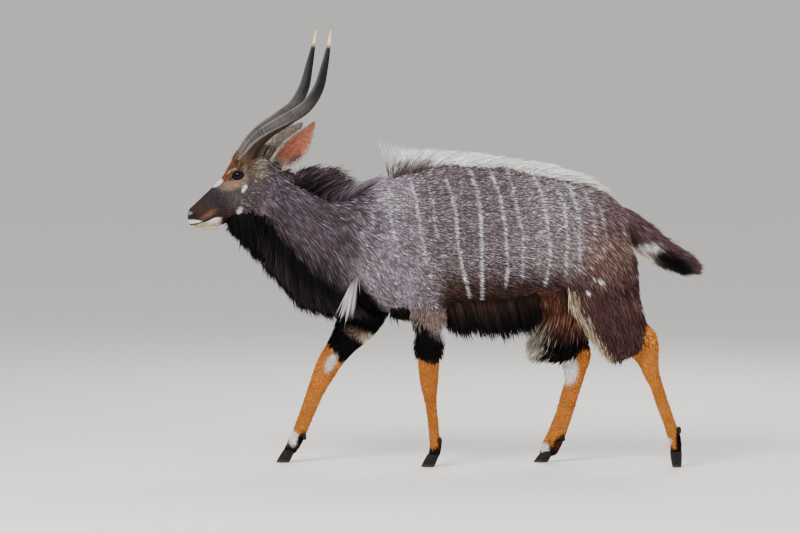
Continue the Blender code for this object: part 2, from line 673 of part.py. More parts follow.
def make_mouth_cut(skin):
    """A thin wedge round the muzzle that leaves the line of the mouth."""
    outer, inner = lip_path(skin, 0, MOUTH_CUT_OUT), lip_path(skin, 0, -MOUTH_CUT_IN)
    lift = Vector((0, 0, MOUTH_CUT_HALF))
    rings = [[out + lift, into + lift * 0.25, into - lift * 0.25, out - lift]
             for out, into in zip(outer, inner)]
    points = [p for ring in rings for p in ring]
    faces = [(0, 1, 2, 3), tuple(len(points) - 4 + k for k in (3, 2, 1, 0))]
    for i in range(len(rings) - 1):
        for k in range(4):
            a, b = i * 4 + k, i * 4 + (k + 1) % 4
            faces.append((a, b, b + 4, a + 4))
    return link("mouth_cut", mesh_from("mouth_cut", points, faces))


def make_nostril(skin, side):
    """The comma-shaped pit of a nostril."""
    path = [on_skin(skin, (x, y * side, z), 0) for x, y, z in NOSTRIL]
    return tube_along("nostril", path, NOSTRIL_RADII, sides=7)


def make_head(fine):
    """The head with lids, lips, mouth line, nostrils and sockets."""
    head = part_off(fine, "head", flesh_cells()["head"])
    skin = BVHTree.FromPolygons([v.co for v in head.data.vertices],
                                [tuple(p.vertices) for p in head.data.polygons])
    count = 2 * len(MOUTH_LINE)
    radii = [LIP_RADIUS * min(1.0, 0.35 + 0.35 * min(i, count - 1 - i)) for i in range(count)]
    additions = [make_lid(-1), make_lid(1)]
    for raise_by in (LIP_APART, -LIP_APART):
        additions.append(tube_along("lip", lip_path(skin, raise_by, -LIP_SUNK), radii, sides=5))
    combine(head, additions, "UNION", "MANIFOLD")
    cuts = [make_mouth_cut(skin), make_nostril(skin, -1), make_nostril(skin, 1)]
    for side in (-1, 1):
        centre = eye_frame(side)[0]
        radius = EYE_RADIUS + JOINT_GAP
        cuts.append(turn_head(ball("socket", centre, (radius,) * 3, **EYE_MESH)))
    return combine(head, cuts, "DIFFERENCE", "MANIFOLD")


def make_eyes():
    """Both eyeballs, which fill their sockets."""
    for name, side in (("eye_left", -1), ("eye_right", 1)):
        centre = eye_frame(side)[0]
        turn_head(ball(name, centre, (EYE_RADIUS,) * 3, **EYE_MESH))


def make_horn(name, side, head):
    """A lyre-shaped horn with a twisting keel and low rings on its lower half."""
    path = curve_through(HORN_PATH, 3)
    radii = curve_through([(r,) for r in HORN_RADII], 3)[:, 0]
    sides = 9
    rings = []
    for i, (x, y, z) in enumerate(path):
        share = i / (len(path) - 1)
        near = path[min(i + 1, len(path) - 1)] - path[max(i - 1, 0)]
        ahead = Vector((near[0], near[1] * side, near[2])).normalized()
        across = ahead.cross(Vector((0, 1, 0))).normalized()
        other = ahead.cross(across).normalized()
        ridge = 1 + 0.05 * (i % 2) * (share < 0.6)
        keel_at = pi / 2 + side * (0.4 + 2.6 * share)
        ring = []
        for k in range(sides):
            turn = tau * k / sides
            keel = 1 + 0.22 * max(cos(turn - keel_at), 0) ** 4 * (1 - share)
            reach = radii[i] * ridge * keel
            ring.append(Vector((x, y * side, z)) + (across * cos(turn) + other * sin(turn)) * reach)
        rings.append(ring)
    horn = turn_head(link(name, mesh_from(name, *skin_rings(rings))))
    return combine(horn, [grown(head, "head_room", JOINT_GAP)], "DIFFERENCE")


def make_ear(name, base, tip, facing, neighbours):
    """A leaf-shaped ear with an open cup."""
    base, tip = Vector(base), Vector(tip)
    along = (tip - base).normalized()
    length = (tip - base).length
    facing = Vector(facing)
    inward = (facing - along * facing.dot(along)).normalized()
    across = along.cross(inward).normalized()
    rows, columns = 8, 6
    front, back = [], []
    for i in range(rows):
        share = i / (rows - 1)
        width = EAR_WIDTH / 2 * (0.30 + 0.70 * sin(pi * min(share * 1.05 + 0.10, 1)) ** 0.8)
        width *= 1 if share < 0.97 else 0.25
        depth = 0.034 * (1 - share) ** 0.7 + 0.004
        most = EAR_ROLL - EAR_UNROLL * share
        for j in range(columns):
            v = 2 * j / (columns - 1) - 1
            roll = v * most
            point = base + along * length * share + across * width * sin(roll) / sin(most)
            point -= inward * depth * (cos(roll) - cos(most)) / (1 - cos(most))
            skew = across * 0.010 * sin(pi * share)
            front.append(point + skew)
            taper = 0.45 if abs(v) > 0.99 else 1.0
            back.append(point + skew - inward * EAR_THICKNESS * taper * (1.6 - share))
    points = front + back
    count = len(front)
    faces = []
    for i in range(rows - 1):
        for j in range(columns - 1):
            a = i * columns + j
            b, c, d = a + 1, a + columns + 1, a + columns
            faces += [(a, b, c), (a, c, d), (count + a, count + c, count + b),
                      (count + a, count + d, count + c)]
    rim = [j for j in range(columns)] + [i * columns + columns - 1 for i in range(1, rows)]
    rim += [(rows - 1) * columns + j for j in range(columns - 2, -1, -1)]
    rim += [i * columns for i in range(rows - 2, 0, -1)]
    for a, b in zip(rim, rim[1:] + rim[:1]):
        faces.append((a, b, count + b, count + a))
    ear = turn_head(link(name, mesh_from(name, points, faces)))
    room = [grown(piece, piece.name + "_room", JOINT_GAP) for piece in neighbours]
    return combine(ear, room, "DIFFERENCE")


def make_hoof(name):
    """A cloven hoof: two claws joined behind, on a flat sole."""
    leg, coronet_x, coronet_z, toe_lean, sole_length = HOOVES[name]
    y = LEGS[leg][2]
    rings = []
    for share, spread in ((0.0, 1.0), (0.92, 1.06), (1.0, 1.0)):
        z = (coronet_z - JOINT_GAP / 2) * (1 - share)
        half = (0.023 + (sole_length / 2 - 0.023) * share) * spread
        middle = coronet_x - toe_lean * share
        ring = []
        for k in range(12):
            turn = tau * k / 12
            pinch = 1 - 0.25 * max(-cos(turn), 0) ** 2
            ring.append(Vector((middle + half * cos(turn), y + 0.0225 * spread * sin(turn) * pinch, z)))
        rings.append(ring)
    hoof = link(name, mesh_from(name, *skin_rings(rings)))
    width = 0.0024
    toe = coronet_x - toe_lean - sole_length
    points = []
    for x, half in ((toe, width * 1.6), (coronet_x + 0.004, width / 2)):
        for z in (-0.02, coronet_z - 0.006):
            lean = 0.0 if z < 0 else toe_lean * 0.2
            points += [Vector((x + lean, y - half, z)), Vector((x + lean, y + half, z))]
    faces = [(0, 1, 3, 2), (4, 6, 7, 5), (0, 4, 5, 1), (2, 3, 7, 6), (0, 2, 6, 4), (1, 5, 7, 3)]
    cleft = link("cleft", mesh_from("cleft", points, faces))
    return combine(hoof, [cleft], "DIFFERENCE")


def flesh_cells():
    """The planes that bound each piece of flesh: a point and the way out of the piece."""
    forward, back = (-1, 0, 0), (1, 0, 0)
    up, down = (0, 0, 1), (0, 0, -1)
    left, right = (0, -1, 0), (0, 1, 0)
    neck_at, shoulder_at = (NECK_CUT_X, 0, 0), (SHOULDER_CUT_X, 0, 0)
    flank_at = (FLANK_CUT_X, 0, 0)
    elbow_at, stifle_at, hock_at = (0, 0, ELBOW_CUT_Z), (0, 0, STIFLE_CUT_Z), (0, 0, HOCK_CUT_Z)
    cells = {
        "head": [(HEAD_CUT_POINT, HEAD_CUT_NORMAL)],
        "neck": [(HEAD_CUT_POINT, -HEAD_CUT_NORMAL), (neck_at, back), (elbow_at, down)],
        "forequarters": [(neck_at, forward), (shoulder_at, back), (elbow_at, down)],
        "barrel": [(shoulder_at, forward), (flank_at, back)],
        "hindquarters": [(flank_at, forward), (TAIL_CUT_POINT, TAIL_CUT_NORMAL), (stifle_at, down)],
        "tail": [(TAIL_CUT_POINT, -TAIL_CUT_NORMAL), (stifle_at, down)],
    }
    for hoof, (leg, _, coronet_z, _, _) in HOOVES.items():
        fore = leg.startswith("fore")
        inner = left if leg.endswith("right") else right
        middle, coronet = ((0, 0, 0), inner), ((0, 0, coronet_z), down)
        if fore:
            cells[leg] = [(elbow_at, up), coronet, (shoulder_at, back), middle]
        else:
            cells[leg] = [(hock_at, up), coronet, (flank_at, forward), middle]
            cells[leg.replace("hindleg", "thigh")] = [(stifle_at, up), (hock_at, down),
                                                      (flank_at, forward), middle]
    return cells


def section_at(sections, share):
    """A row of a curve at a share of its length, held at its ends."""
    place = min(max(share, 0.0), 1.0) * (len(sections) - 1)
    low = min(int(place), len(sections) - 2)
    return sections[low] + (sections[low + 1] - sections[low]) * (place - low)


def lock_shape(lock, grow=0.0):
    """Points and faces of one flat tapered lock that bends from its root to its tip."""
    root, tip = lock["root"], lock["tip"]
    reach = tip - root
    points = []
    for t, share in LOCK_STEPS:
        centre = root + reach * t + lock["bow"] * 4 * t * (1 - t)
        along = (reach + lock["bow"] * 4 * (1 - 2 * t)).normalized()
        flat = (lock["across"] - along * lock["across"].dot(along)).normalized()
        ridge = flat.cross(along)
        if ridge.dot(lock["lift"]) < 0:
            ridge = -ridge
        half = lock["width"] * share / 2 + grow
        rise = lock["thickness"] * (0.4 + 0.6 * share) / 2 + grow
        points += [centre + flat * half - ridge * rise * 0.6, centre + ridge * rise,
                   centre - flat * half - ridge * rise * 0.6]
    points.append(tip + reach.normalized() * grow)
    faces = [(2, 1, 0)]
    last = 3 * (len(LOCK_STEPS) - 1)
    for start in range(0, last, 3):
        for k in range(3):
            a, b = start + k, start + (k + 1) % 3
            faces += [(a, b, b + 3), (a, b + 3, a + 3)]
    faces += [(last + k, last + (k + 1) % 3, last + 3) for k in range(3)]
    return points, faces


def make_lock(root, tip, bow, across, width, thickness, up=None):
    """A lock by its root, its tip, how it bows and lies, and which way its skin is looked for."""
    return {"root": root, "tip": tip, "bow": Vector(bow), "across": across,
            "width": width, "thickness": thickness, "lift": Vector((0, 0, 1)), "up": up}


def locks_over(form, count, y_root, y_tip, width, thickness, draw, lag=0.0, span=(0.0, 1.0),
               reach=1.0, shift=0.0, bow=(0.0, 0.0, 0.0), erect=False):
    """Locks from the inner edge of a hair form to its outer edge, evenly spread and varied."""
    sections = curve_through(form, 8)
    locks = []
    for i in range(count):
        share = span[0] + (span[1] - span[0]) * (i + shift + draw.uniform(0.15, 0.35)) / count
        inner, outer = section_at(sections, share - lag), section_at(sections, share)
        root = Vector((inner[0], y_root, inner[1]))
        tip = Vector((outer[2], y_tip * draw.uniform(0.8, 1.2), outer[3]))
        tip = root + (tip - root) * reach * draw.uniform(0.92, 1.02)
        lie = tip - root
        tilt = LOCK_TILT * (1 if y_root > 0 else -1) * draw.uniform(0.85, 1.15)
        across = lie.cross(Vector((0, 1, 0))).normalized() + Vector((0, tilt, 0))
        up = Vector((inner[2] - inner[0], 0, inner[3] - inner[1])).normalized() if erect else None
        locks.append(make_lock(root, tip, Vector(bow) * lie.length, across,
                               width * draw.uniform(0.85, 1.15), thickness, up))
    return locks


def skirt_locks(form, side, draw):
    """Long hair that hangs over the front, the outside and the back of a thigh."""
    sections = curve_through(form, 8)
    locks = []
    for row, (height, reach, count, proud) in enumerate(SKIRT_ROWS):
        above, below = section_at(sections, height), section_at(sections, reach)
        for i in range(count):
            share = (i + 0.5 + draw.uniform(-0.15, 0.15)) / count
            bulge = sin(pi * (0.08 + 0.84 * share))
            root = Vector((above[0], 0, above[1])).lerp(Vector((above[2], 0, above[3])),
                                                        0.06 + 0.88 * share)
            tip = Vector((below[0], 0, below[1])).lerp(Vector((below[2], 0, below[3])), share)
            root.z += draw.uniform(-0.016, 0.016)
            tip = root + (tip - root) * draw.uniform(0.84, 1.03)
            root.y = side * (0.096 + 0.056 * bulge)
            tip.y = side * (0.094 + proud + 0.040 * bulge)
            across = (tip - root).cross(Vector((0, 1, 0))).normalized()
            across.y = side * LOCK_TILT
            locks.append(make_lock(root, tip, (0, side * 0.012, 0), across,
                                   SKIRT_LOCK_WIDTH * draw.uniform(0.85, 1.15),
                                   SKIRT_LOCK_THICKNESS))
    return locks


def brush_locks(draw):
    """The bushy brush round the tail, tier over tier to its point."""
    core = curve_through(TAIL, 6)
    locks = []
    for tier, (at, spread, length, count) in enumerate(BRUSH_TIERS):
        section = section_at(core, at)
        ahead = section_at(core, min(at + 0.1, 1.0)) - section_at(core, at - 0.1)
        middle = Vector(((section[0] + section[2]) / 2, 0, (section[1] + section[3]) / 2))
        along = Vector((ahead[0] + ahead[2], 0, ahead[1] + ahead[3])).normalized()
        up = Vector((0, 1, 0)).cross(along).normalized()
        for k in range(count):
            turn = tau * (k + 0.5 * (tier % 2)) / count + draw.uniform(-0.12, 0.12)
            out = up * sin(turn) + Vector((0, cos(turn) * 0.75, 0))
            root = middle + out * section[4]
            tip = middle + along * length * draw.uniform(0.92, 1.05) + out * spread
            across = out.cross(along).normalized() + out * LOCK_TILT
            locks.append(make_lock(root, tip, out * 0.010, across,
                                   BRUSH_LOCK_WIDTH * draw.uniform(0.9, 1.1),
                                   BRUSH_LOCK_THICKNESS))
    return locks


def hair_plan():
    """Every lock of the long hair, by node, in the order in which they are grown."""
    draw = random.Random(SEED)
    plan = {name: [] for name in LOCKED_NODES}

    def node_of(lock):
        root = lock["root"]
        if HEAD_CUT_NORMAL.dot(root - HEAD_CUT_POINT) < 0:
            return "head"
        if root.x < NECK_CUT_X:
            return "neck"
        if root.x < SHOULDER_CUT_X:
            return "forequarters"
        return "barrel" if root.x < FLANK_CUT_X else "hindquarters"

    for side in (-1, 1):
        for row in HAIR_ROWS:
            sizes = dict(row)
            form, count = sizes.pop("form"), sizes.pop("count")
            y_root, y_tip = sizes.pop("y_root") * side, sizes.pop("y_tip") * side
            lean = Vector(sizes.pop("bow"))
            lean.y *= side
            for lock in locks_over(form, count, y_root, y_tip, draw=draw, bow=lean,
                                   shift=0.5 * (side > 0), **sizes):
                plan[node_of(lock)].append(lock)
    plan["thigh_left"] += skirt_locks(SKIRT_TRAILING, -1, draw)
    plan["thigh_right"] += skirt_locks(SKIRT_FORWARD, 1, draw)
    plan["tail"] += brush_locks(draw)
    return plan


def boxes_meet(a, b):
    return all(a[0][k] <= b[1][k] and b[0][k] <= a[1][k] for k in range(3))


def hull_of(points, faces):
    """A search tree of a mesh, with its box."""
    low = [min(p[k] for p in points) for k in range(3)]
    high = [max(p[k] for p in points) for k in range(3)]
    return BVHTree.FromPolygons(points, faces), (low, high)


def rooted(lock, tree):
    """The lock with its root sunk a little way under the skin of its node."""
    skin, normal, _, _ = tree.find_nearest(lock["root"])
    if lock["up"]:
        above = lock["root"] + lock["up"] * ROOT_SEARCH
        hit, hit_normal, _, _ = tree.ray_cast(above, -lock["up"], 2 * ROOT_SEARCH)
        if hit:
            skin, normal = hit, hit_normal
    lock["root"] = skin - normal * ROOT_DEPTH
    lock["lift"] = normal
    return lock


def crossings(lock, rivals):
    """The meshes that a lock would cross, or come too near."""
    tree, box = hull_of(*lock_shape(lock, LOCK_CLEARANCE))
    return [rival for rival, bounds in rivals if boxes_meet(box, bounds) and rival.overlap(tree)]


def outer_part(lock):
    """A lock without its root, where it may lie over its neighbours but not through them."""
    points, faces = lock_shape(lock, LOCK_CLEARANCE)
    return hull_of(points, [face for face in faces if min(face) >= 3])


def grow_hair():
    """Grow every lock on its node, bent, raised or shortened where it would cross something."""
    bodies = {}
    for piece in bpy.data.objects:
        points = [v.co.copy() for v in piece.data.vertices]
        bodies[piece.name] = hull_of(points, [tuple(p.vertices) for p in piece.data.polygons])
    placed = []
    for name, locks in hair_plan().items():
        kept, laid = [], []
        rivals = [body for other, body in bodies.items() if other != name]
        rivals += [hull for owner, hull in placed if owner != name]
        for lock in locks:
            lock = rooted(lock, bodies[name][0])
            first_tip, first_bow, pulled = lock["tip"].copy(), lock["bow"].copy(), 0.0
            for attempt in range(LOCK_TRIES):
                crossed = crossings(lock, rivals)
                tree, box = outer_part(lock)
                through = [hull for hull, bounds in laid
                           if boxes_meet(box, bounds) and hull.overlap(tree)]
                clear = min(p.z for p in lock_shape(lock)[0]) > LOCK_CLEARANCE
                if clear and not crossed and not (through and attempt < NEIGHBOUR_TRIES):
                    kept.append(lock_shape(lock))
                    laid.append((tree, box))
                    placed.append((name, hull_of(*lock_shape(lock, LOCK_CLEARANCE))))
                    break
                lift = ESCAPE * (attempt // 2 + 1) * (1 if attempt % 2 == 0 else -0.6)
                lock["tip"] = first_tip + lock["lift"] * lift
                lock["bow"] = first_bow + lock["lift"] * lift * 0.5
                if crossed:
                    nearest = crossed[0].find_nearest(lock["tip"])[0]
                    pulled += 0.04
                    lock["tip"] += (lock["tip"] - nearest).normalized() * ESCAPE * attempt * 0.6
                lock["tip"] = lock["tip"].lerp(lock["root"], pulled)
        fuse_locks(bpy.data.objects[name], kept)
        print(name, "locks", len(kept), "of", len(locks))


def bad_seams(mesh):
    """The middles of all edges of a mesh where it touches itself or isn't closed."""
    work = bmesh.new()
    work.from_mesh(mesh)
    bmesh.ops.remove_doubles(work, verts=work.verts[:], dist=SEAM_TOUCH)
    seams = [(edge.verts[0].co + edge.verts[1].co) / 2 for edge in work.edges
             if len(edge.link_faces) != 2]
    work.free()
    return seams


def fuse_locks(piece, shapes):
    """Join the locks of a node to it. Locks at a bad seam are moved by less than a millimetre."""
    bare = piece.data.copy()
    moved = list(shapes)
    for attempt in range(FUSE_TRIES):
        solids = [link("lock", mesh_from("lock", *shape)) for shape in moved]
        piece.data = bare.copy()
        combine(piece, solids, "UNION", "MANIFOLD")
        seams = bad_seams(piece.data)
        if not seams:
            return
        for i, (points, faces) in enumerate(shapes):
            tree = BVHTree.FromPolygons(points, faces)
            if any(tree.find_nearest(seam)[3] < SEAM_REACH for seam in seams):
                turn = i + 2 * attempt
                move = Vector((sin(3 * turn), sin(5 * turn + 1), sin(7 * turn + 2))) * SEAM_NUDGE
                moved[i] = ([p + move for p in points], faces)
    print(piece.name, "still has", len(seams), "bad seams")


def add_dewclaws():
    """Two small claws behind each fetlock."""
    for name, (x, z, lean) in DEWCLAWS.items():
        leg = bpy.data.objects[name]
        claws = []
        for side in (-1, 1):
            top = Vector((x, LEGS[name][2] + side * DEWCLAW_SPREAD, z))
            down = Vector((lean, side * 0.10, -1.0)).normalized() * DEWCLAW_LENGTH
            claws.append(tube_along("dewclaw", [top, top + down * 0.5, top + down],
                                    DEWCLAW_RADII, sides=4))
        combine(leg, claws, "UNION", "MANIFOLD")


def paint(name, colour):
    """One plain material for an object."""
    red, green, blue, rough = COLOURS[colour]
    material = bpy.data.materials.new(name + "_finish")
    material.use_nodes = True
    shader = material.node_tree.nodes["Principled BSDF"]
    shader.inputs["Base Color"].default_value = (red, green, blue, 1)
    shader.inputs["Roughness"].default_value = rough
    piece = bpy.data.objects[name]
    piece.data.materials.clear()
    piece.data.materials.append(material)


def centre_model():
    """Shift every piece so that the whole stands centred on the origin."""
    corners = np.array([v.co[:] for piece in bpy.data.objects for v in piece.data.vertices])
    low, high = corners.min(axis=0), corners.max(axis=0)
    shift = Matrix.Translation((-(low[0] + high[0]) / 2, -(low[1] + high[1]) / 2, -low[2]))
    for piece in bpy.data.objects:
        piece.data.transform(shift)
    print("size", high - low, "shift", shift.translation)


def build():
    for old in list(bpy.data.objects):
        bpy.data.objects.remove(old, do_unlink=True)
    flesh = make_flesh()
    coarse = thinned(flesh, "flesh_coarse", BODY_TRIANGLES)
    fine = thinned(flesh, "flesh_fine", HEAD_TRIANGLES)
    cells = flesh_cells()
    for name, planes in cells.items():
        if name != "head":
            part_off(coarse, name, planes)
    head = make_head(fine)
    discard([flesh, coarse, fine])
    make_eyes()
    make_horn("horn_left", -1, head)
    make_horn("horn_right", 1, head)
    for name, places in EARS.items():
        make_ear(name, *places, [head, bpy.data.objects["neck"]])
    for name in HOOVES:
        make_hoof(name)
    add_dewclaws()
    grow_hair()
    finishes = {"head": "coat", "neck": "neck", "forequarters": "coat", "barrel": "coat",
                "hindquarters": "coat", "tail": "dark", "thigh_left": "dark", "thigh_right": "dark"}
    for piece in bpy.data.objects:
        kind = piece.name.split("_")[0]
        fallback = {"foreleg": "leg", "hindleg": "leg"}.get(kind, kind)
        paint(piece.name, finishes.get(piece.name, fallback))
        piece.data.shade_smooth()
        piece.data.set_sharp_from_angle(angle=radians(40))
    centre_model()


build()
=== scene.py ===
# %% [markdown]
# # A nyala bull, life size, as a still museum model
#
# A nyala is a spiral-horned antelope. The bull has a slate-brown coat with thin white stripes, a white
# crest along the back, a black fringe under the throat and belly, shaggy thighs and orange lower legs.
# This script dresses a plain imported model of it: a finer skin, a coat of real mesh tufts, eyes, ears,
# horns and hooves, each with its own material. All lengths are in metres.

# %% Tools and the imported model
import json
from math import cos, pi, radians, sin, sqrt, tau

import bmesh
import bpy
import numpy as np
from mathutils import Matrix, Vector
from mathutils.bvhtree import BVHTree

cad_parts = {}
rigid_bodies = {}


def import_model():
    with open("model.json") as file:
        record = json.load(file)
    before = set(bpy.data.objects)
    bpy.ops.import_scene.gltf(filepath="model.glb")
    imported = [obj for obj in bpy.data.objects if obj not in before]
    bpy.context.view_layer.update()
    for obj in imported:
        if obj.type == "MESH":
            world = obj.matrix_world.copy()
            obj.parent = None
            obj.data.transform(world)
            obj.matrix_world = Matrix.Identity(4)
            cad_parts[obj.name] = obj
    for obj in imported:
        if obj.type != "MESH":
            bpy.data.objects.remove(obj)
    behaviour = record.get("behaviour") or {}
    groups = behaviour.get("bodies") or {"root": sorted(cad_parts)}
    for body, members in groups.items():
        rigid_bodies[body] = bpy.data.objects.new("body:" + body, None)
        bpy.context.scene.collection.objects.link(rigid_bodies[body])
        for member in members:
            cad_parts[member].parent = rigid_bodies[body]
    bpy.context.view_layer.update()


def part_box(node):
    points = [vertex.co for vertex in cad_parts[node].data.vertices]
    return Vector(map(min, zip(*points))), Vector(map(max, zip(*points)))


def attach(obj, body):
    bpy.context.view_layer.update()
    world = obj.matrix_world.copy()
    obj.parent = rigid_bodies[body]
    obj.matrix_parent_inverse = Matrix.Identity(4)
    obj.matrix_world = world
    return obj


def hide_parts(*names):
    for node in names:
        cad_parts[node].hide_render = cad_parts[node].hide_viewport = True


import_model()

# %% [markdown]
# ## The drawing
#
# The animal was drawn in side view, nose to the left, as sections of an upper and a lower edge with
# half widths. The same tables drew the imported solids, so the skin here lies where they are. The head
# is turned a little towards the viewer about the top of the neck.

# %% Sections of head, neck, trunk and tail
# x and z of the upper edge, x and z of the lower edge, half widths above and below.
HEAD = [
    (-0.966, 0.972, -0.963, 0.913, 0.021, 0.024), (-0.944, 0.992, -0.925, 0.899, 0.031, 0.034),
    (-0.913, 1.021, -0.871, 0.903, 0.036, 0.036), (-0.875, 1.057, -0.826, 0.917, 0.041, 0.038),
    (-0.841, 1.091, -0.780, 0.928, 0.052, 0.044), (-0.814, 1.136, -0.735, 0.939, 0.065, 0.052),
    (-0.788, 1.174, -0.693, 0.955, 0.066, 0.058), (-0.742, 1.190, -0.655, 0.975, 0.062, 0.060),
    (-0.689, 1.185, -0.621, 1.010, 0.056, 0.058),
]
NECK = [
    (-0.689, 1.185, -0.720, 0.945, 0.050, 0.050), (-0.621, 1.148, -0.689, 0.890, 0.058, 0.062),
    (-0.545, 1.091, -0.652, 0.826, 0.062, 0.075), (-0.470, 1.042, -0.598, 0.755, 0.068, 0.088),
    (-0.394, 1.018, -0.534, 0.683, 0.080, 0.100), (-0.318, 1.034, -0.451, 0.617, 0.098, 0.116),
    (-0.223, 1.087, -0.348, 0.583, 0.108, 0.122), (-0.120, 1.080, -0.240, 0.620, 0.100, 0.110),
]
THROAT_CORE = [
    (-0.790, 0.960, -0.800, 0.900, 0.020, 0.016), (-0.730, 0.960, -0.745, 0.858, 0.034, 0.026),
    (-0.670, 0.900, -0.690, 0.806, 0.044, 0.034), (-0.610, 0.830, -0.635, 0.738, 0.050, 0.040),
    (-0.545, 0.760, -0.565, 0.660, 0.054, 0.042), (-0.470, 0.690, -0.480, 0.605, 0.054, 0.040),
    (-0.380, 0.640, -0.385, 0.578, 0.050, 0.036),
]
TRUNK = [
    (-0.356, 1.030, -0.371, 0.620, 0.086, 0.100), (-0.242, 1.087, -0.250, 0.582, 0.118, 0.130),
    (-0.129, 1.125, -0.129, 0.576, 0.130, 0.140), (-0.015, 1.146, -0.015, 0.586, 0.140, 0.156),
    (0.136, 1.150, 0.136, 0.604, 0.150, 0.172), (0.288, 1.131, 0.288, 0.627, 0.150, 0.172),
    (0.420, 1.106, 0.409, 0.657, 0.144, 0.160), (0.534, 1.072, 0.515, 0.684, 0.134, 0.142),
    (0.621, 1.027, 0.606, 0.716, 0.108, 0.118), (0.689, 0.966, 0.674, 0.769, 0.070, 0.080),
]
TAIL = [
    (0.590, 1.030, 0.600, 0.950, 0.030, 0.028), (0.664, 0.986, 0.636, 0.918, 0.030, 0.028),
    (0.735, 0.922, 0.697, 0.872, 0.028, 0.028), (0.817, 0.854, 0.775, 0.806, 0.030, 0.028),
    (0.888, 0.804, 0.856, 0.766, 0.022, 0.020), (0.938, 0.764, 0.926, 0.748, 0.008, 0.008),
]

# %% Sections of the legs
# Front edge, rear edge, half width outside and inside.
FORE_LEG_STANDING = [
    (-0.230, 1.004, -0.040, 0.985, 0.045, 0.045), (-0.250, 0.852, 0.020, 0.833, 0.068, 0.066),
    (-0.212, 0.730, 0.032, 0.715, 0.059, 0.057), (-0.148, 0.625, 0.015, 0.633, 0.046, 0.046),
    (-0.120, 0.549, 0.004, 0.557, 0.039, 0.039), (-0.114, 0.473, -0.004, 0.481, 0.033, 0.033),
    (-0.102, 0.413, -0.015, 0.417, 0.029, 0.029), (-0.098, 0.360, -0.019, 0.360, 0.028, 0.028),
    (-0.091, 0.307, -0.023, 0.307, 0.025, 0.025), (-0.076, 0.246, -0.027, 0.246, 0.019, 0.019),
    (-0.064, 0.170, -0.021, 0.170, 0.018, 0.018), (-0.059, 0.110, -0.015, 0.110, 0.020, 0.020),
    (-0.056, 0.076, -0.008, 0.080, 0.023, 0.023), (-0.064, 0.040, -0.018, 0.036, 0.021, 0.021),
]
FORE_LEG_REACHING = [
    (-0.345, 0.960, -0.140, 0.960, 0.045, 0.045), (-0.375, 0.810, -0.110, 0.832, 0.066, 0.064),
    (-0.392, 0.700, -0.150, 0.682, 0.058, 0.056), (-0.398, 0.606, -0.212, 0.557, 0.044, 0.044),
    (-0.417, 0.523, -0.269, 0.481, 0.037, 0.037), (-0.443, 0.462, -0.333, 0.428, 0.032, 0.032),
    (-0.477, 0.402, -0.383, 0.375, 0.029, 0.029), (-0.500, 0.345, -0.420, 0.318, 0.026, 0.026),
    (-0.523, 0.277, -0.458, 0.254, 0.020, 0.020), (-0.549, 0.201, -0.492, 0.178, 0.018, 0.018),
    (-0.576, 0.125, -0.523, 0.106, 0.020, 0.020), (-0.595, 0.083, -0.542, 0.068, 0.023, 0.023),
    (-0.612, 0.046, -0.563, 0.034, 0.021, 0.021),
]
HIND_LEG_TRAILING = [
    (0.450, 0.905, 0.650, 0.950, 0.036, 0.034), (0.424, 0.775, 0.720, 0.812, 0.062, 0.054),
    (0.455, 0.675, 0.733, 0.695, 0.060, 0.054), (0.525, 0.590, 0.740, 0.610, 0.050, 0.048),
    (0.605, 0.510, 0.762, 0.550, 0.038, 0.038), (0.682, 0.436, 0.796, 0.512, 0.029, 0.029),
    (0.728, 0.388, 0.808, 0.460, 0.026, 0.026), (0.752, 0.340, 0.809, 0.375, 0.022, 0.022),
    (0.774, 0.299, 0.824, 0.314, 0.019, 0.019), (0.797, 0.231, 0.846, 0.246, 0.018, 0.018),
    (0.824, 0.163, 0.869, 0.178, 0.020, 0.020), (0.839, 0.117, 0.888, 0.129, 0.023, 0.023),
    (0.849, 0.080, 0.896, 0.085, 0.021, 0.021), (0.852, 0.045, 0.894, 0.045, 0.021, 0.021),
]
HIND_LEG_FORWARD = [
    (0.400, 0.885, 0.640, 0.930, 0.036, 0.034), (0.350, 0.779, 0.674, 0.779, 0.062, 0.054),
    (0.342, 0.670, 0.636, 0.670, 0.060, 0.054), (0.364, 0.587, 0.591, 0.595, 0.050, 0.048),
    (0.394, 0.511, 0.552, 0.527, 0.040, 0.040), (0.422, 0.436, 0.552, 0.466, 0.031, 0.031),
    (0.441, 0.383, 0.561, 0.405, 0.026, 0.026), (0.458, 0.322, 0.538, 0.330, 0.022, 0.022),
    (0.443, 0.261, 0.515, 0.254, 0.019, 0.019), (0.424, 0.193, 0.492, 0.178, 0.018, 0.018),
    (0.394, 0.117, 0.466, 0.102, 0.021, 0.021), (0.371, 0.070, 0.447, 0.057, 0.023, 0.023),
    (0.362, 0.038, 0.430, 0.027, 0.021, 0.021),
]
# Where each leg stands across the body: high up, and at the hoof.
LEGS = {
    "foreleg_left": (FORE_LEG_STANDING, -0.072, -0.082),
    "foreleg_right": (FORE_LEG_REACHING, 0.072, 0.082),
    "hindleg_left": (HIND_LEG_TRAILING, -0.092, -0.088),
    "hindleg_right": (HIND_LEG_FORWARD, 0.092, 0.088),
}
LEG_TUCK = 0.35
LEG_TUCK_ROWS = 3

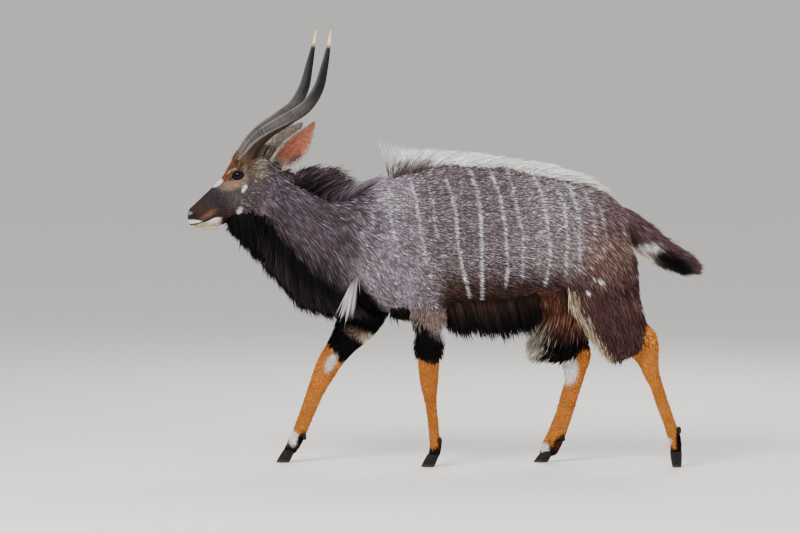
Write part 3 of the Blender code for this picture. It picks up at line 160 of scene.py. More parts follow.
# %% Outlines of the long hair
# Edge by the body, then the outer edge at the hair tips.
CREST = [
    (-0.197, 1.034, -0.248, 1.218), (-0.148, 1.064, -0.170, 1.197), (-0.083, 1.087, -0.091, 1.193),
    (0.034, 1.102, 0.034, 1.186), (0.174, 1.102, 0.174, 1.167), (0.307, 1.087, 0.307, 1.144),
    (0.424, 1.049, 0.436, 1.125), (0.545, 1.004, 0.568, 1.076), (0.602, 0.958, 0.633, 1.027),
]
NAPE = [
    (-0.568, 1.042, -0.561, 1.110), (-0.527, 1.004, -0.500, 1.110), (-0.462, 0.985, -0.432, 1.121),
    (-0.386, 0.966, -0.364, 1.114), (-0.326, 0.966, -0.311, 1.068),
]
FRINGE = [
    (-0.788, 0.985, -0.826, 0.905), (-0.735, 0.958, -0.765, 0.826), (-0.674, 0.928, -0.712, 0.769),
    (-0.636, 0.871, -0.670, 0.712), (-0.576, 0.795, -0.606, 0.652), (-0.500, 0.720, -0.530, 0.568),
    (-0.386, 0.644, -0.413, 0.542), (-0.235, 0.606, -0.235, 0.545),
]
BELLY_FRINGE = [
    (-0.197, 0.606, -0.197, 0.557), (-0.072, 0.625, -0.072, 0.542), (0.042, 0.633, 0.042, 0.500),
    (0.174, 0.633, 0.174, 0.485), (0.300, 0.640, 0.303, 0.489), (0.386, 0.682, 0.383, 0.557),
]
SKIRT_TRAILING = [
    (0.409, 0.670, 0.746, 0.663), (0.462, 0.595, 0.750, 0.580), (0.534, 0.500, 0.754, 0.511),
    (0.587, 0.428, 0.742, 0.455), (0.640, 0.364, 0.697, 0.420),
]
SKIRT_FORWARD = [
    (0.367, 0.663, 0.591, 0.644), (0.326, 0.549, 0.561, 0.542), (0.307, 0.473, 0.545, 0.455),
    (0.303, 0.417, 0.508, 0.405), (0.320, 0.371, 0.409, 0.375),
]

# %% Small sizes
HEAD_TURN = radians(10)
HEAD_PIVOT = Vector((-0.640, 0.0, 0.0))
HEAD_MATRIX = (Matrix.Translation(HEAD_PIVOT) @ Matrix.Rotation(HEAD_TURN, 4, "Z")
               @ Matrix.Translation(-HEAD_PIVOT))
HEAD_CUT_POINT = Vector((-0.648, 0.0, 1.030))
HEAD_CUT_NORMAL = Vector((0.954, 0.0, -0.299))
EYE_CENTRE = Vector((-0.785, 0.0392, 1.098))
EYE_RADIUS = 0.0205
EYE_OPENING = (0.0182, 0.0140)
LID_THICKNESS = 0.0042
MOUTH_LINE = [
    (-0.875, 0.0375, 0.942), (-0.897, 0.0365, 0.931), (-0.918, 0.0335, 0.923),
    (-0.938, 0.0290, 0.917), (-0.956, 0.0190, 0.915), (-0.966, 0.0070, 0.915),
]
NOSTRIL = [(-0.972, 0.0120, 0.951), (-0.964, 0.0190, 0.945), (-0.953, 0.0250, 0.949),
           (-0.945, 0.0300, 0.959)]
NOSTRIL_RADII = [0.0035, 0.0052, 0.0045, 0.0022]
HORN_PATH = [
    (-0.766, 0.033, 1.150), (-0.723, 0.047, 1.217), (-0.674, 0.074, 1.266),
    (-0.604, 0.110, 1.313), (-0.543, 0.144, 1.358), (-0.501, 0.172, 1.425),
    (-0.479, 0.184, 1.508), (-0.463, 0.182, 1.584), (-0.453, 0.178, 1.645),
]
HORN_RADII = [0.032, 0.031, 0.028, 0.0255, 0.024, 0.021, 0.015, 0.008, 0.0018]


def head_point(point):
    """Where a drawn point of the head is once the head is turned."""
    return HEAD_PIVOT + Matrix.Rotation(HEAD_TURN, 3, "Z") @ (Vector(point) - HEAD_PIVOT)


eye_low, eye_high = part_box("eye_left")
drawn_eye = head_point((EYE_CENTRE.x, -EYE_CENTRE.y, EYE_CENTRE.z))
PLACE = Matrix.Translation((eye_low + eye_high) / 2 - drawn_eye)
print("the drawing is moved by", [round(v, 4) for v in PLACE.translation])

# %% [markdown]
# ## Building forms from sections
#
# A smooth curve runs through the rows of a table, and a ring of points stands at each step of it. The
# rings joined in order give a closed tube, which suits trunks, limbs and horns alike.

# %% Lofts through sections
def curve_through(rows, steps):
    """Rows on a smooth curve through the given rows, with some steps for each span."""
    rows = np.array(rows, dtype=float)
    padded = np.vstack([2 * rows[0] - rows[1], rows, 2 * rows[-1] - rows[-2]])
    samples = []
    for i in range(len(rows) - 1):
        before, start, end, after = padded[i:i + 4]
        for t in np.arange(steps) / steps:
            line = 2 * start + (end - before) * t
            bend = (2 * before - 5 * start + 4 * end - after) * t ** 2
            twist = (3 * start - before - 3 * end + after) * t ** 3
            samples.append((line + bend + twist) / 2)
    samples.append(rows[-1])
    return np.array(samples)


def link(name, mesh):
    """Put a mesh in the scene as an object."""
    piece = bpy.data.objects.new(name, mesh)
    bpy.context.scene.collection.objects.link(piece)
    return piece


def mesh_from(name, points, faces):
    """A closed mesh with its faces turned outwards."""
    mesh = bpy.data.meshes.new(name)
    mesh.from_pydata([tuple(p) for p in points], [], faces)
    work = bmesh.new()
    work.from_mesh(mesh)
    bmesh.ops.recalc_face_normals(work, faces=work.faces[:])
    if work.calc_volume(signed=True) < 0:
        bmesh.ops.reverse_faces(work, faces=work.faces[:])
    work.to_mesh(mesh)
    work.free()
    return mesh


def skin_rings(rings):
    """Points and faces of a tube over rings of equal size, closed by a point at each end."""
    sides = len(rings[0])
    points = [p for ring in rings for p in ring]
    faces = []
    for i in range(len(rings) - 1):
        for k in range(sides):
            a, b = i * sides + k, i * sides + (k + 1) % sides
            faces.append((a, b, b + sides, a + sides))
    for ring, start in ((rings[0], 0), (rings[-1], (len(rings) - 1) * sides)):
        points.append(sum(ring, Vector()) / sides)
        hub = len(points) - 1
        faces += [(start + k, start + (k + 1) % sides, hub) for k in range(sides)]
    return points, faces


def domed_end(ring, neighbour, dome=0.5):
    """A smaller ring just past the end of a loft, to round it off."""
    middle = sum(ring, Vector()) / len(ring)
    inward = sum(neighbour, Vector()) / len(neighbour)
    outward = (middle - inward).normalized() * (ring[0] - middle).length * 0.25
    return [middle + (p - middle) * dome + outward for p in ring]


def loft(name, rows, y_high=0.0, y_low=0.0, sides=36, steps=6, tuck=0.0):
    """A limb or trunk over sections given by two edges and their half widths."""
    sections = curve_through(rows, steps)
    rings = []
    for i, (x1, z1, x2, z2, outer, inner) in enumerate(sections):
        share = i / (len(sections) - 1)
        y = y_high + (y_low - y_high) * share
        y *= 1 - tuck * max(0, 1 - i / (LEG_TUCK_ROWS * steps))
        edge_a, edge_b = Vector((x1, y, z1)), Vector((x2, y, z2))
        middle, half = (edge_a + edge_b) / 2, (edge_a - edge_b) / 2
        ring = []
        for k in range(sides):
            turn = tau * k / sides
            width = outer * (1 + cos(turn)) / 2 + inner * (1 - cos(turn)) / 2
            ring.append(middle + half * cos(turn) + Vector((0, width * sin(turn), 0)))
        rings.append(ring)
    rings = [domed_end(rings[0], rings[1])] + rings + [domed_end(rings[-1], rings[-2])]
    return link(name, mesh_from(name, *skin_rings(rings)))


def turn_head(piece):
    """Turn a piece of the head towards the viewer with the head itself."""
    piece.data.transform(HEAD_MATRIX)
    return piece


def finish_mesh(mesh, material):
    """Shade a mesh smoothly and give it its material."""
    mesh.shade_smooth()
    mesh.materials.append(material)
    return mesh


# %% Modifiers applied, and closed pieces joined or cut
def settle(piece):
    """Replace an object's mesh by what its modifiers make of it."""
    bpy.context.view_layer.update()
    evaluated = piece.evaluated_get(bpy.context.evaluated_depsgraph_get())
    finished = bpy.data.meshes.new_from_object(evaluated)
    piece.modifiers.clear()
    piece.data = finished
    return piece


def discard(pieces):
    for piece in pieces:
        bpy.data.objects.remove(piece, do_unlink=True)


def join_meshes(name, pieces):
    """One object that holds the meshes of several."""
    whole = bmesh.new()
    for piece in pieces:
        whole.from_mesh(piece.data)
    mesh = bpy.data.meshes.new(name)
    whole.to_mesh(mesh)
    whole.free()
    discard(pieces)
    return link(name, mesh)


def cut_behind(piece, point, normal):
    """Keep the part of a mesh behind a plane, and close the cut."""
    work = bmesh.new()
    work.from_mesh(piece.data)
    geometry = work.verts[:] + work.edges[:] + work.faces[:]
    bmesh.ops.bisect_plane(work, geom=geometry, dist=1e-6, plane_co=point, plane_no=normal,
                           clear_outer=True)
    bmesh.ops.holes_fill(work, edges=[e for e in work.edges if e.is_boundary], sides=0)
    bmesh.ops.recalc_face_normals(work, faces=work.faces[:])
    work.to_mesh(piece.data)
    work.free()
    return piece


def combine(piece, others, operation):
    """Join closed pieces to a piece, or cut them out of it."""
    group = bpy.data.collections.new(piece.name + "_group")
    bpy.context.scene.collection.children.link(group)
    for other in others:
        bpy.context.scene.collection.objects.unlink(other)
        group.objects.link(other)
    boolean = piece.modifiers.new("combine", "BOOLEAN")
    boolean.operation = operation
    boolean.operand_type = "COLLECTION"
    boolean.collection = group
    boolean.solver = "MANIFOLD"
    settle(piece)
    discard(others)
    bpy.data.collections.remove(group)
    return piece


def tube_along(name, path, radii, sides=10, closed=False):
    """A tube over a path of points, with a radius at each."""
    count = len(path)
    rings = []
    for i, point in enumerate(path):
        before = path[(i - 1) % count] if closed or i > 0 else path[i]
        after = path[(i + 1) % count] if closed or i < count - 1 else path[i]
        ahead = (after - before).normalized()
        side = ahead.cross(Vector((0.03, 1.0, 0.02))).normalized()
        up = side.cross(ahead).normalized()
        rings.append([point + (side * cos(tau * k / sides) + up * sin(tau * k / sides)) * radii[i]
                      for k in range(sides)])
    if not closed:
        return link(name, mesh_from(name, *skin_rings(rings)))
    points = [p for ring in rings for p in ring]
    faces = []
    for i in range(count):
        for k in range(sides):
            a, b = i * sides + k, i * sides + (k + 1) % sides
            c, d = (i + 1) % count * sides + (k + 1) % sides, (i + 1) % count * sides + k
            faces.append((a, b, c, d))
    return link(name, mesh_from(name, points, faces))


def ball(name, centre, radius, rings=24, sides=36):
    """A sphere of quads and triangles whose poles lie across the body."""
    hoops = []
    for i in range(1, rings):
        polar = pi * i / rings
        hoops.append([Vector(centre) + Vector((sin(polar) * cos(tau * k / sides), cos(polar),
                                               sin(polar) * sin(tau * k / sides))) * radius
                      for k in range(sides)])
    points, faces = skin_rings(hoops)
    points[-2] = Vector(centre) + Vector((0, radius, 0))
    points[-1] = Vector(centre) - Vector((0, radius, 0))
    return link(name, mesh_from(name, points, faces))


print("tools for forms are ready")

# %% [markdown]
# ## Arrays for speed
#
# A coat has about a hundred thousand tufts, too many for a Python loop over points. NumPy works on all
# of them at once, so places, markings and tuft shapes are arrays with one row for each point.

# %% Helpers for arrays of points
def ramp(low, high, value):
    """0 below low, 1 above high, and smooth between them."""
    t = np.clip((np.asarray(value) - low) / (high - low), 0, 1)
    return t * t * (3 - 2 * t)


def unit(vectors):
    """The same directions with length 1."""
    return vectors / np.maximum(np.linalg.norm(vectors, axis=-1, keepdims=True), 1e-9)


def places_of(mesh):
    """The points of a mesh and their normals."""
    points = np.empty(len(mesh.vertices) * 3, np.float32)
    mesh.vertices.foreach_get("co", points)
    normals = np.empty(len(mesh.vertices) * 3, np.float32)
    mesh.vertices.foreach_get("normal", normals)
    return points.reshape(-1, 3).astype(float), normals.reshape(-1, 3).astype(float)


NOSE_TIP = (-0.966, 0.945)
FACE_WAY = (0.803, 0.596)           # from the nose up to the poll, along the face


def head_share(points):
    """How far each point lies along the face: 0 at the nose, 0.34 at the poll."""
    turn = np.array(Matrix.Rotation(-HEAD_TURN, 3, "Z"))
    pivot = np.array(HEAD_PIVOT)
    own = (points - pivot) @ turn.T + pivot
    return (own[:, 0] - NOSE_TIP[0]) * FACE_WAY[0] + (own[:, 2] - NOSE_TIP[1]) * FACE_WAY[1], own


def turned(points):
    """Points of the drawn head where they are once the head is turned."""
    pivot = np.array(HEAD_PIVOT)
    return (points - pivot) @ np.array(Matrix.Rotation(HEAD_TURN, 3, "Z")).T + pivot


def in_head(points):
    """True for each point in front of the plane behind the cheeks."""
    return (points - np.array(HEAD_CUT_POINT)) @ np.array(HEAD_CUT_NORMAL) < 0


def coat_depth(points):
    """How far the short coat stands over the skin, in metres."""
    share, own = head_share(points)
    head = in_head(points)
    z = points[:, 2]
    body = 0.0018 + 0.0050 * ramp(0.36, 0.62, z)
    face = 0.0006 + 0.0024 * ramp(0.03, 0.26, share)
    return np.where(head, face, body)


print("helpers for arrays are ready")

# %% [markdown]
# ## The skin
#
# On the real animal the skin runs unbroken over muscle and bone. Overlapping lofts fused by a voxel
# remesh give such a skin, and smoothing softens the places where they meet. The surface is then drawn
# in by the depth of the coat, so that the tips of the fur lie on the animal's outline. The head is
# remeshed much finer than the body, because lids, lips and nostrils are small.

# %% Flesh from lofts
BODY_VOXEL = 0.0076
HEAD_VOXEL = 0.0024
SOFTEN_ROUNDS = 6           # rounds of smoothing at the body's voxel
BLEND_ROUNDS = 44
BLEND_LOW, BLEND_DEPTH = 0.54, 0.12
BLEND_FRONT, BLEND_REAR = -0.62, 0.70


def fused(name, parts, voxel, rounds):
    """One closed smooth mesh from overlapping forms."""
    flesh = join_meshes(name, parts)
    remesh = flesh.modifiers.new("fuse", "REMESH")
    remesh.mode = "VOXEL"
    remesh.voxel_size = voxel
    smooth = flesh.modifiers.new("soften", "SMOOTH")
    smooth.factor = 0.5
    smooth.iterations = rounds
    return settle(flesh)


def blend_shoulders(flesh):
    """Run shoulders and haunches softly into the trunk."""
    points, _ = places_of(flesh.data)
    weights = np.clip((points[:, 2] - BLEND_LOW) / BLEND_DEPTH, 0, 1)
    weights[(points[:, 0] < BLEND_FRONT) | (points[:, 0] > BLEND_REAR)] = 0
    group = flesh.vertex_groups.new(name="trunk")
    for index in np.nonzero(weights)[0]:
        group.add([int(index)], float(weights[index]), "REPLACE")
    blend = flesh.modifiers.new("blend", "SMOOTH")
    blend.vertex_group = group.name
    blend.factor = 0.5
    blend.iterations = BLEND_ROUNDS
    return settle(flesh)


def drawn_in(piece):
    """Move the surface inwards by the depth of the coat."""
    points, normals = places_of(piece.data)
    points -= normals * coat_depth(points)[:, None]
    piece.data.vertices.foreach_set("co", points.astype(np.float32).ravel())
    piece.data.update()
    return piece


body_forms = [turn_head(loft("head_form", HEAD)), loft("neck_form", NECK),
              loft("throat_form", THROAT_CORE), loft("trunk_form", TRUNK, sides=48),
              loft("tail_form", TAIL)]
for leg, (rows, y_high, y_low) in LEGS.items():
    body_forms.append(loft(leg + "_form", rows, y_high, y_low, sides=28, tuck=LEG_TUCK))
body = drawn_in(blend_shoulders(fused("body", body_forms, BODY_VOXEL, SOFTEN_ROUNDS)))
cut_behind(body, HEAD_CUT_POINT, -HEAD_CUT_NORMAL)
print("body skin", len(body.data.polygons), "faces")

head_forms = [turn_head(loft("head_form", HEAD, sides=60, steps=10)),
              loft("neck_form", NECK, sides=60, steps=10), loft("throat_form", THROAT_CORE)]
head_rounds = round(SOFTEN_ROUNDS * (BODY_VOXEL / HEAD_VOXEL) ** 2)
head = fused("head_skin", head_forms, HEAD_VOXEL, head_rounds)
cut_behind(head, HEAD_CUT_POINT + HEAD_CUT_NORMAL * 0.020, HEAD_CUT_NORMAL)
drawn_in(head)
print("head skin", len(head.data.polygons), "faces")

# %% [markdown]
# ## Eyelids, lips, mouth and nostrils
#
# The lids are an almond ring that lies on the eyeball. Two soft rolls follow the line of the mouth, one
# for each lip, and a thin wedge cut between them leaves the mouth line itself. Each nostril is a comma
# that is cut into the side of the nose. Every path is laid on the skin by a search for its nearest
# point, so that nothing floats off the face.

# %% Details of the face
LIP_RADIUS, LIP_APART, LIP_SUNK = 0.0042, 0.0052, 0.0012
MOUTH_CUT_OUT, MOUTH_CUT_IN, MOUTH_CUT_HALF = 0.010, 0.007, 0.0022
LID_STEPS = 32

face_tree = BVHTree.FromPolygons([v.co for v in head.data.vertices],
                                 [tuple(p.vertices) for p in head.data.polygons])


def on_face(point, push_out=0.0):
    """The place on the turned head nearest to a drawn point, moved out of or into the skin."""
    place, normal, _, _ = face_tree.find_nearest(head_point(point))
    return place + normal * push_out


def eye_frame(side):
    """Centre of an eye and its forward, upward and outward directions."""
    centre = Vector((EYE_CENTRE.x, EYE_CENTRE.y * side, EYE_CENTRE.z))
    outward = Vector((-0.28, 0.94 * side, 0.10)).normalized()
    muzzle_way = Vector((-0.93, 0, -0.20))
    forward = (muzzle_way - outward * outward.dot(muzzle_way)).normalized()
    upward = forward.cross(outward) * side
    if upward.z < 0:
        upward = -upward
    return centre, forward, upward, outward


def make_lids(side):
    """The rim of both lids, drawn to a point at the inner corner."""
    centre, forward, upward, outward = eye_frame(side)
    path, radii = [], []
    for k in range(LID_STEPS):
        turn = tau * k / LID_STEPS
        pinch = 1 - 0.35 * max(cos(turn), 0) ** 2
        along = EYE_OPENING[0] * cos(turn) * (1.10 if cos(turn) > 0 else 1.0)
        across = EYE_OPENING[1] * sin(turn) * pinch
        depth = sqrt(max(EYE_RADIUS ** 2 - along ** 2 - across ** 2, 0.0)) - 0.0012
        path.append(centre + forward * along + upward * across + outward * depth)
        radii.append(LID_THICKNESS * (0.80 + 0.20 * max(sin(turn), 0)))
    return turn_head(tube_along("lids", path, radii, closed=True))


def mouth_points(raise_by, push_out):
    """The line of the mouth from one corner round the muzzle to the other."""
    half = [tuple(row) for row in curve_through(MOUTH_LINE, 3)]
    whole = [(x, -y, z) for x, y, z in half] + [(x, y, z) for x, y, z in reversed(half)]
    return [on_face((x, y, z + raise_by), push_out) for x, y, z in whole]


additions = [make_lids(-1), make_lids(1)]
for raise_by in (LIP_APART, -LIP_APART):
    path = mouth_points(raise_by, -LIP_SUNK)
    radii = [LIP_RADIUS * min(1.0, 0.35 + 0.12 * min(i, len(path) - 1 - i)) for i in range(len(path))]
    additions.append(tube_along("lip", path, radii))
combine(head, additions, "UNION")

outer, inner = mouth_points(0, MOUTH_CUT_OUT), mouth_points(0, -MOUTH_CUT_IN)
lift = Vector((0, 0, MOUTH_CUT_HALF))
wedge = [[out + lift, into + lift * 0.25, into - lift * 0.25, out - lift]
         for out, into in zip(outer, inner)]
cuts = [link("mouth_cut", mesh_from("mouth_cut", *skin_rings(wedge)))]
for side in (-1, 1):
    nostril = [on_face((x, y * side, z)) for x, y, z in curve_through(NOSTRIL, 3)]
    cuts.append(tube_along("nostril", nostril, curve_through([(r,) for r in NOSTRIL_RADII], 3)[:, 0]))
    socket = EYE_RADIUS + 0.0003
    cuts.append(turn_head(ball("socket", eye_frame(side)[0], socket)))
combine(head, cuts, "DIFFERENCE")
print("face cut and joined:", len(head.data.polygons), "faces")

# %% [markdown]
# ## Colours and markings
#
# The markings belong to the coat, so one function gives the colour at any place, and both the skin and
# each tuft ask it. It lays soft spots and bands over a ground colour, as a painter of models would with
# an airbrush. Both sides of the animal carry the same markings.

# %% Colours, from sRGB hex to linear light
def linear(hex_colour):
    """An sRGB hex colour as linear red, green and blue."""
    values = np.array([int(hex_colour[i:i + 2], 16) for i in (1, 3, 5)]) / 255
    return np.where(values <= 0.04045, values / 12.92, ((values + 0.055) / 1.055) ** 2.4)


COAT = {
    "flank": "#7c6f71", "shoulder": "#90838a", "pale_shoulder": "#a5989f", "loin": "#938688",
    "rump": "#785f61", "low_flank": "#46322b", "under_crest": "#6b5b57", "belly": "#2a1e1a",
    "haunch": "#785f57", "thigh": "#4a3230", "neck": "#5f5258", "neck_dark": "#463a40",
    "black": "#0c0a0b", "white": "#fbf9f7", "cream": "#d5c3a6", "stripe": "#e6e2e4",
    "orange": "#cb7f38", "orange_dark": "#9c5824", "groin": "#93604f", "elbow": "#7a6860",
    "hoof_hair": "#1d1614",
    "bridge": "#393134", "cheek": "#5f5556", "temple": "#6b5b50", "forehead": "#684e3c",
    "rust": "#7c4529", "brow": "#b19a7e", "eye_ring": "#9c826c", "jaw": "#42312d",
    "lip_tan": "#8d6b50", "ear_base": "#857669", "whisker": "#b9a68a", "tail": "#5a4344",
    "tail_tip": "#70504a",
    # The grey for the top of the nose pad is a painted highlight of wet skin.
    "nose": "#0d0b0d", "nose_painted_highlight": "#85868d", "grey_tips": "#b5a99c", "nape_brown": "#5f4840",
}
COAT = {name: linear(value) for name, value in COAT.items()}
print(len(COAT), "coat colours")

# %% Soft shapes in side view
def lay(colours, name, weight):
    """Lay one colour over others as strongly as the weights say."""
    colours += (COAT[name] - colours) * np.clip(weight, 0, 1)[:, None]


def spot(x, z, centre, radii, lean=0.0, edge=0.35):
    """A soft ellipse: 1 inside, 0 outside. It leans by degrees from level."""
    dx, dz = x - centre[0], z - centre[1]
    c, s = cos(radians(lean)), sin(radians(lean))
    reach = np.hypot((dx * c + dz * s) / radii[0], (dz * c - dx * s) / radii[1])
    return 1 - ramp(1 - edge, 1 + edge, reach)


def line_distance(x, z, line):
    """Distance to a line through points in side view."""
    best = np.full(len(x), 9.0)
    for (x1, z1), (x2, z2) in zip(line, line[1:]):
        length = (x2 - x1) ** 2 + (z2 - z1) ** 2
        t = np.clip(((x - x1) * (x2 - x1) + (z - z1) * (z2 - z1)) / length, 0, 1)
        best = np.minimum(best, np.hypot(x - x1 - t * (x2 - x1), z - z1 - t * (z2 - z1)))
    return best


def band(x, z, line, half, edge=0.004):
    """A soft stripe along a line."""
    return 1 - ramp(half - edge, half + edge, line_distance(x, z, line))


# White stripes of the flank: how strong, then x and z from top to bottom.
STRIPES = [
    (0.50, [(-0.208, 1.042), (-0.201, 0.947), (-0.186, 0.871), (-0.167, 0.826)]),
    (0.80, [(-0.125, 1.072), (-0.106, 1.004), (-0.091, 0.909), (-0.072, 0.814), (-0.072, 0.769)]),
    (0.70, [(-0.061, 1.061), (-0.042, 1.004), (-0.034, 0.909), (-0.023, 0.871)]),
    (0.95, [(0.008, 1.080), (0.030, 1.023), (0.045, 0.947), (0.053, 0.833), (0.068, 0.758),
            (0.095, 0.644)]),
    (1.00, [(0.098, 1.117), (0.125, 1.042), (0.136, 0.947), (0.140, 0.833), (0.144, 0.633)]),
    (0.80, [(0.174, 1.110), (0.205, 1.042), (0.223, 0.947), (0.235, 0.833), (0.239, 0.739),
            (0.231, 0.682)]),
    (0.60, [(0.239, 1.117), (0.261, 1.042), (0.285, 0.920), (0.295, 0.890), (0.295, 0.720)]),
    (1.00, [(0.333, 1.106), (0.364, 1.042), (0.383, 0.947), (0.398, 0.833), (0.394, 0.758),
            (0.379, 0.682)]),
    (0.80, [(0.428, 1.042), (0.451, 0.992), (0.462, 0.871), (0.455, 0.720)]),
    (0.75, [(0.470, 1.061), (0.492, 1.004), (0.508, 0.928), (0.508, 0.746)]),
    (0.65, [(0.523, 1.042), (0.553, 0.985), (0.564, 0.909), (0.564, 0.769)]),
    (0.50, [(0.583, 0.985), (0.602, 0.909), (0.617, 0.833), (0.610, 0.769)]),
]
SPOTS = [(0.591, 0.697, 0.008), (0.564, 0.708, 0.005), (0.489, 0.648, 0.006), (0.542, 0.655, 0.007)]
STRIPE_HALF = 0.0048
FRINGE_FRONT = (-0.826, 0.905)        # the black fringe starts at the throat
FRINGE_NORMAL = np.array((0.660, 0.751))        # and this is the way out of it, up the neck
# Lower edge of the white crest, where it lies over the back.
CREST_LOW = np.array([(-0.110, 1.144), (-0.015, 1.150), (0.072, 1.136), (0.174, 1.128), (0.212, 1.133),
                      (0.311, 1.110), (0.428, 1.088), (0.542, 1.064), (0.614, 1.034)])


def streaks(points, size):
    """Slow changes from place to place, about -1 to 1, from a few crossed waves."""
    waves = ((1.0, 0.31, 0.17, 0.0), (-0.42, 0.93, 0.55, 1.7), (0.27, -0.61, 1.13, 4.1))
    total = sum(np.sin((points @ np.array(w[:3])) * tau / size + w[3]) for w in waves)
    return total / 2


# %% Markings of head and neck
def lip_markings(colours, own_x, z):
    """White lips and chin about the line of the mouth."""
    line = np.array(sorted((row[0], row[2]) for row in MOUTH_LINE))
    above = z - np.interp(own_x, line[:, 0], line[:, 1])
    chin = (1 - ramp(-0.003, 0.001, above)) * ramp(-0.968, -0.950, own_x) * (1 - ramp(-0.858, -0.838, own_x))
    lay(colours, "cream", chin)
    lay(colours, "white", chin * spot(own_x, z, (-0.872, 0.934), (0.026, 0.013), 20))
    height = 0.021 * (1 - ramp(-0.950, -0.908, own_x))
    upper = ramp(-0.001, 0.001, above) * (1 - ramp(height * 0.75, height + 0.001, above))
    lay(colours, "white", upper * (1 - ramp(-0.920, -0.912, own_x)))
    lay(colours, "nose", (1 - ramp(0.0012, 0.0030, np.abs(above))) * (own_x < -0.872))


def head_markings(colours, x, z, own_x, share, points):
    behind = (points - np.array(HEAD_CUT_POINT)) @ np.array(HEAD_CUT_NORMAL)
    lay(colours, "cheek", np.ones(len(x)))
    lay(colours, "temple", spot(x, z, (-0.740, 1.135), (0.075, 0.055), 20, 0.6))
    lay(colours, "bridge", 1 - ramp(0.11, 0.20, share))
    lay(colours, "jaw", 1 - ramp(0.0, 0.05, (z - 0.945) + (x + 0.80) * 0.25))
    lay(colours, "forehead", spot(x, z, (-0.790, 1.140), (0.048, 0.040), 30, 0.5))
    lay(colours, "eye_ring", spot(x, z, (-0.797, 1.065), (0.046, 0.017), 12, 0.6))
    lay(colours, "eye_ring", spot(x, z, (-0.752, 1.083), (0.012, 0.024), -15, 0.8) * 0.6)
    lay(colours, "rust", spot(x, z, (-0.822, 1.100), (0.015, 0.030), -25, 0.5) * 0.85)
    lay(colours, "rust", spot(x, z, (-0.796, 1.160), (0.030, 0.011), 52, 0.6)
        * (0.75 + 0.25 * streaks(points, 0.02)))
    brow = [(-0.816, 1.106), (-0.803, 1.118), (-0.786, 1.1235), (-0.768, 1.120), (-0.757, 1.110)]
    lay(colours, "brow", band(x, z, brow, 0.0028, 0.002) * 0.9)
    lay(colours, "ear_base", ramp(-0.735, -0.69, x) * ramp(1.04, 1.12, z))
    lay(colours, "white", spot(x, z, (-0.856, 1.070), (0.024, 0.0110), 28, 0.25))
    lay(colours, "white", spot(x, z, (-0.751, 1.050), (0.0165, 0.0068), 62))
    lay(colours, "lip_tan", spot(x, z, (-0.887, 0.952), (0.033, 0.010), 32, 0.6)
        * (0.60 + 0.30 * streaks(points * [1, 1, 2], 0.016)))
    lip_markings(colours, own_x, z)
    lay(colours, "neck", ramp(-0.075, -0.010, behind + 0.012 * streaks(points, 0.05)))
    ragged = 0.006 * streaks(points, 0.03)
    lay(colours, "black", (1 - ramp(0.928, 0.950, z + ragged)) * ramp(-0.838, -0.822, x))
    lay(colours, "white", spot(x, z, (-0.769, 0.967), (0.0160, 0.0085), 62))
    lay(colours, "nose", (1 - ramp(0.012, 0.022, share)) * ramp(0.929, 0.935, z))
    # Painted highlight: a pale grey spot on top of the wet nose pad.
    lay(colours, "nose_painted_highlight", spot(x, z, (-0.958, 0.957), (0.010, 0.006), 20, 0.7) * 0.6)


def neck_markings(colours, x, z, points):
    edge = -0.26 + 0.203 * (z - 1.136) + 0.020 * streaks(points, 0.06)
    neck = 1 - ramp(-0.035, 0.035, x - edge)
    lay(colours, "neck", neck)
    lay(colours, "neck_dark", neck * (0.5 + 0.5 * streaks(points, 0.17)) * 0.5)
    # Painted shade: a darker band runs down the crease between neck and shoulder.
    painted_crease_shade = [(-0.240, 0.960), (-0.262, 0.870), (-0.288, 0.776)]
    lay(colours, "neck_dark", band(x, z, painted_crease_shade, 0.018, 0.018) * 0.5)
    deep = (x - FRINGE_FRONT[0]) * FRINGE_NORMAL[0] + (z - FRINGE_FRONT[1]) * FRINGE_NORMAL[1]
    deep = deep + 0.018 * streaks(points, 0.05)
    lay(colours, "neck_dark", (1 - ramp(0.10, 0.19, deep)) * neck)
    lay(colours, "black", (1 - ramp(0.065, 0.135, deep)) * neck)
    # Painted shadow: the black below this edge, between chest and foreleg, is the shade of the armpit.
    painted_armpit_shadow = z - np.interp(x, [-0.50, -0.36, -0.323, -0.232, -0.19], [0.64, 0.66, 0.715, 0.605, 0.575])
    lay(colours, "black", (1 - ramp(-0.035, 0.020, painted_armpit_shadow)) * (1 - ramp(-0.17, -0.12, x)))


# %% Markings of the trunk
def trunk_markings(colours, x, z, points):
    lay(colours, "shoulder", 1 - ramp(-0.16, 0.0, x))
    lay(colours, "pale_shoulder", spot(x, z, (-0.185, 1.030), (0.070, 0.060), 0, 0.8))
    lay(colours, "loin", ramp(0.20, 0.40, x))
    lay(colours, "rump", ramp(0.46, 0.66, x + 0.20 * (0.95 - z)))
    body = ramp(-0.03, 0.02, x)
    lay(colours, "low_flank", (1 - ramp(0.66, 0.80, z)) * body)
    lay(colours, "belly", (1 - ramp(0.605, 0.665, z)) * body)
    over_crest = z - np.interp(x, CREST_LOW[:, 0], CREST_LOW[:, 1])
    beneath = ramp(-0.060, -0.012, over_crest)
    lay(colours, "under_crest", beneath * (1 - ramp(-0.13, 0.02, x)) * ramp(-0.22, -0.16, x) * 0.8)
    lay(colours, "under_crest", ramp(-0.020, -0.006, over_crest) * ramp(-0.12, -0.08, x) * 0.8)
    for strength, line in STRIPES:
        broken = 0.72 + 0.28 * streaks(points, 0.03)
        lay(colours, "stripe", band(x, z, line, STRIPE_HALF, 0.002) * strength * broken)
    over_crest = over_crest + 0.003 * streaks(points, 0.02)
    lay(colours, "white", ramp(-0.004, 0.004, over_crest) * ramp(-0.12, -0.08, x))


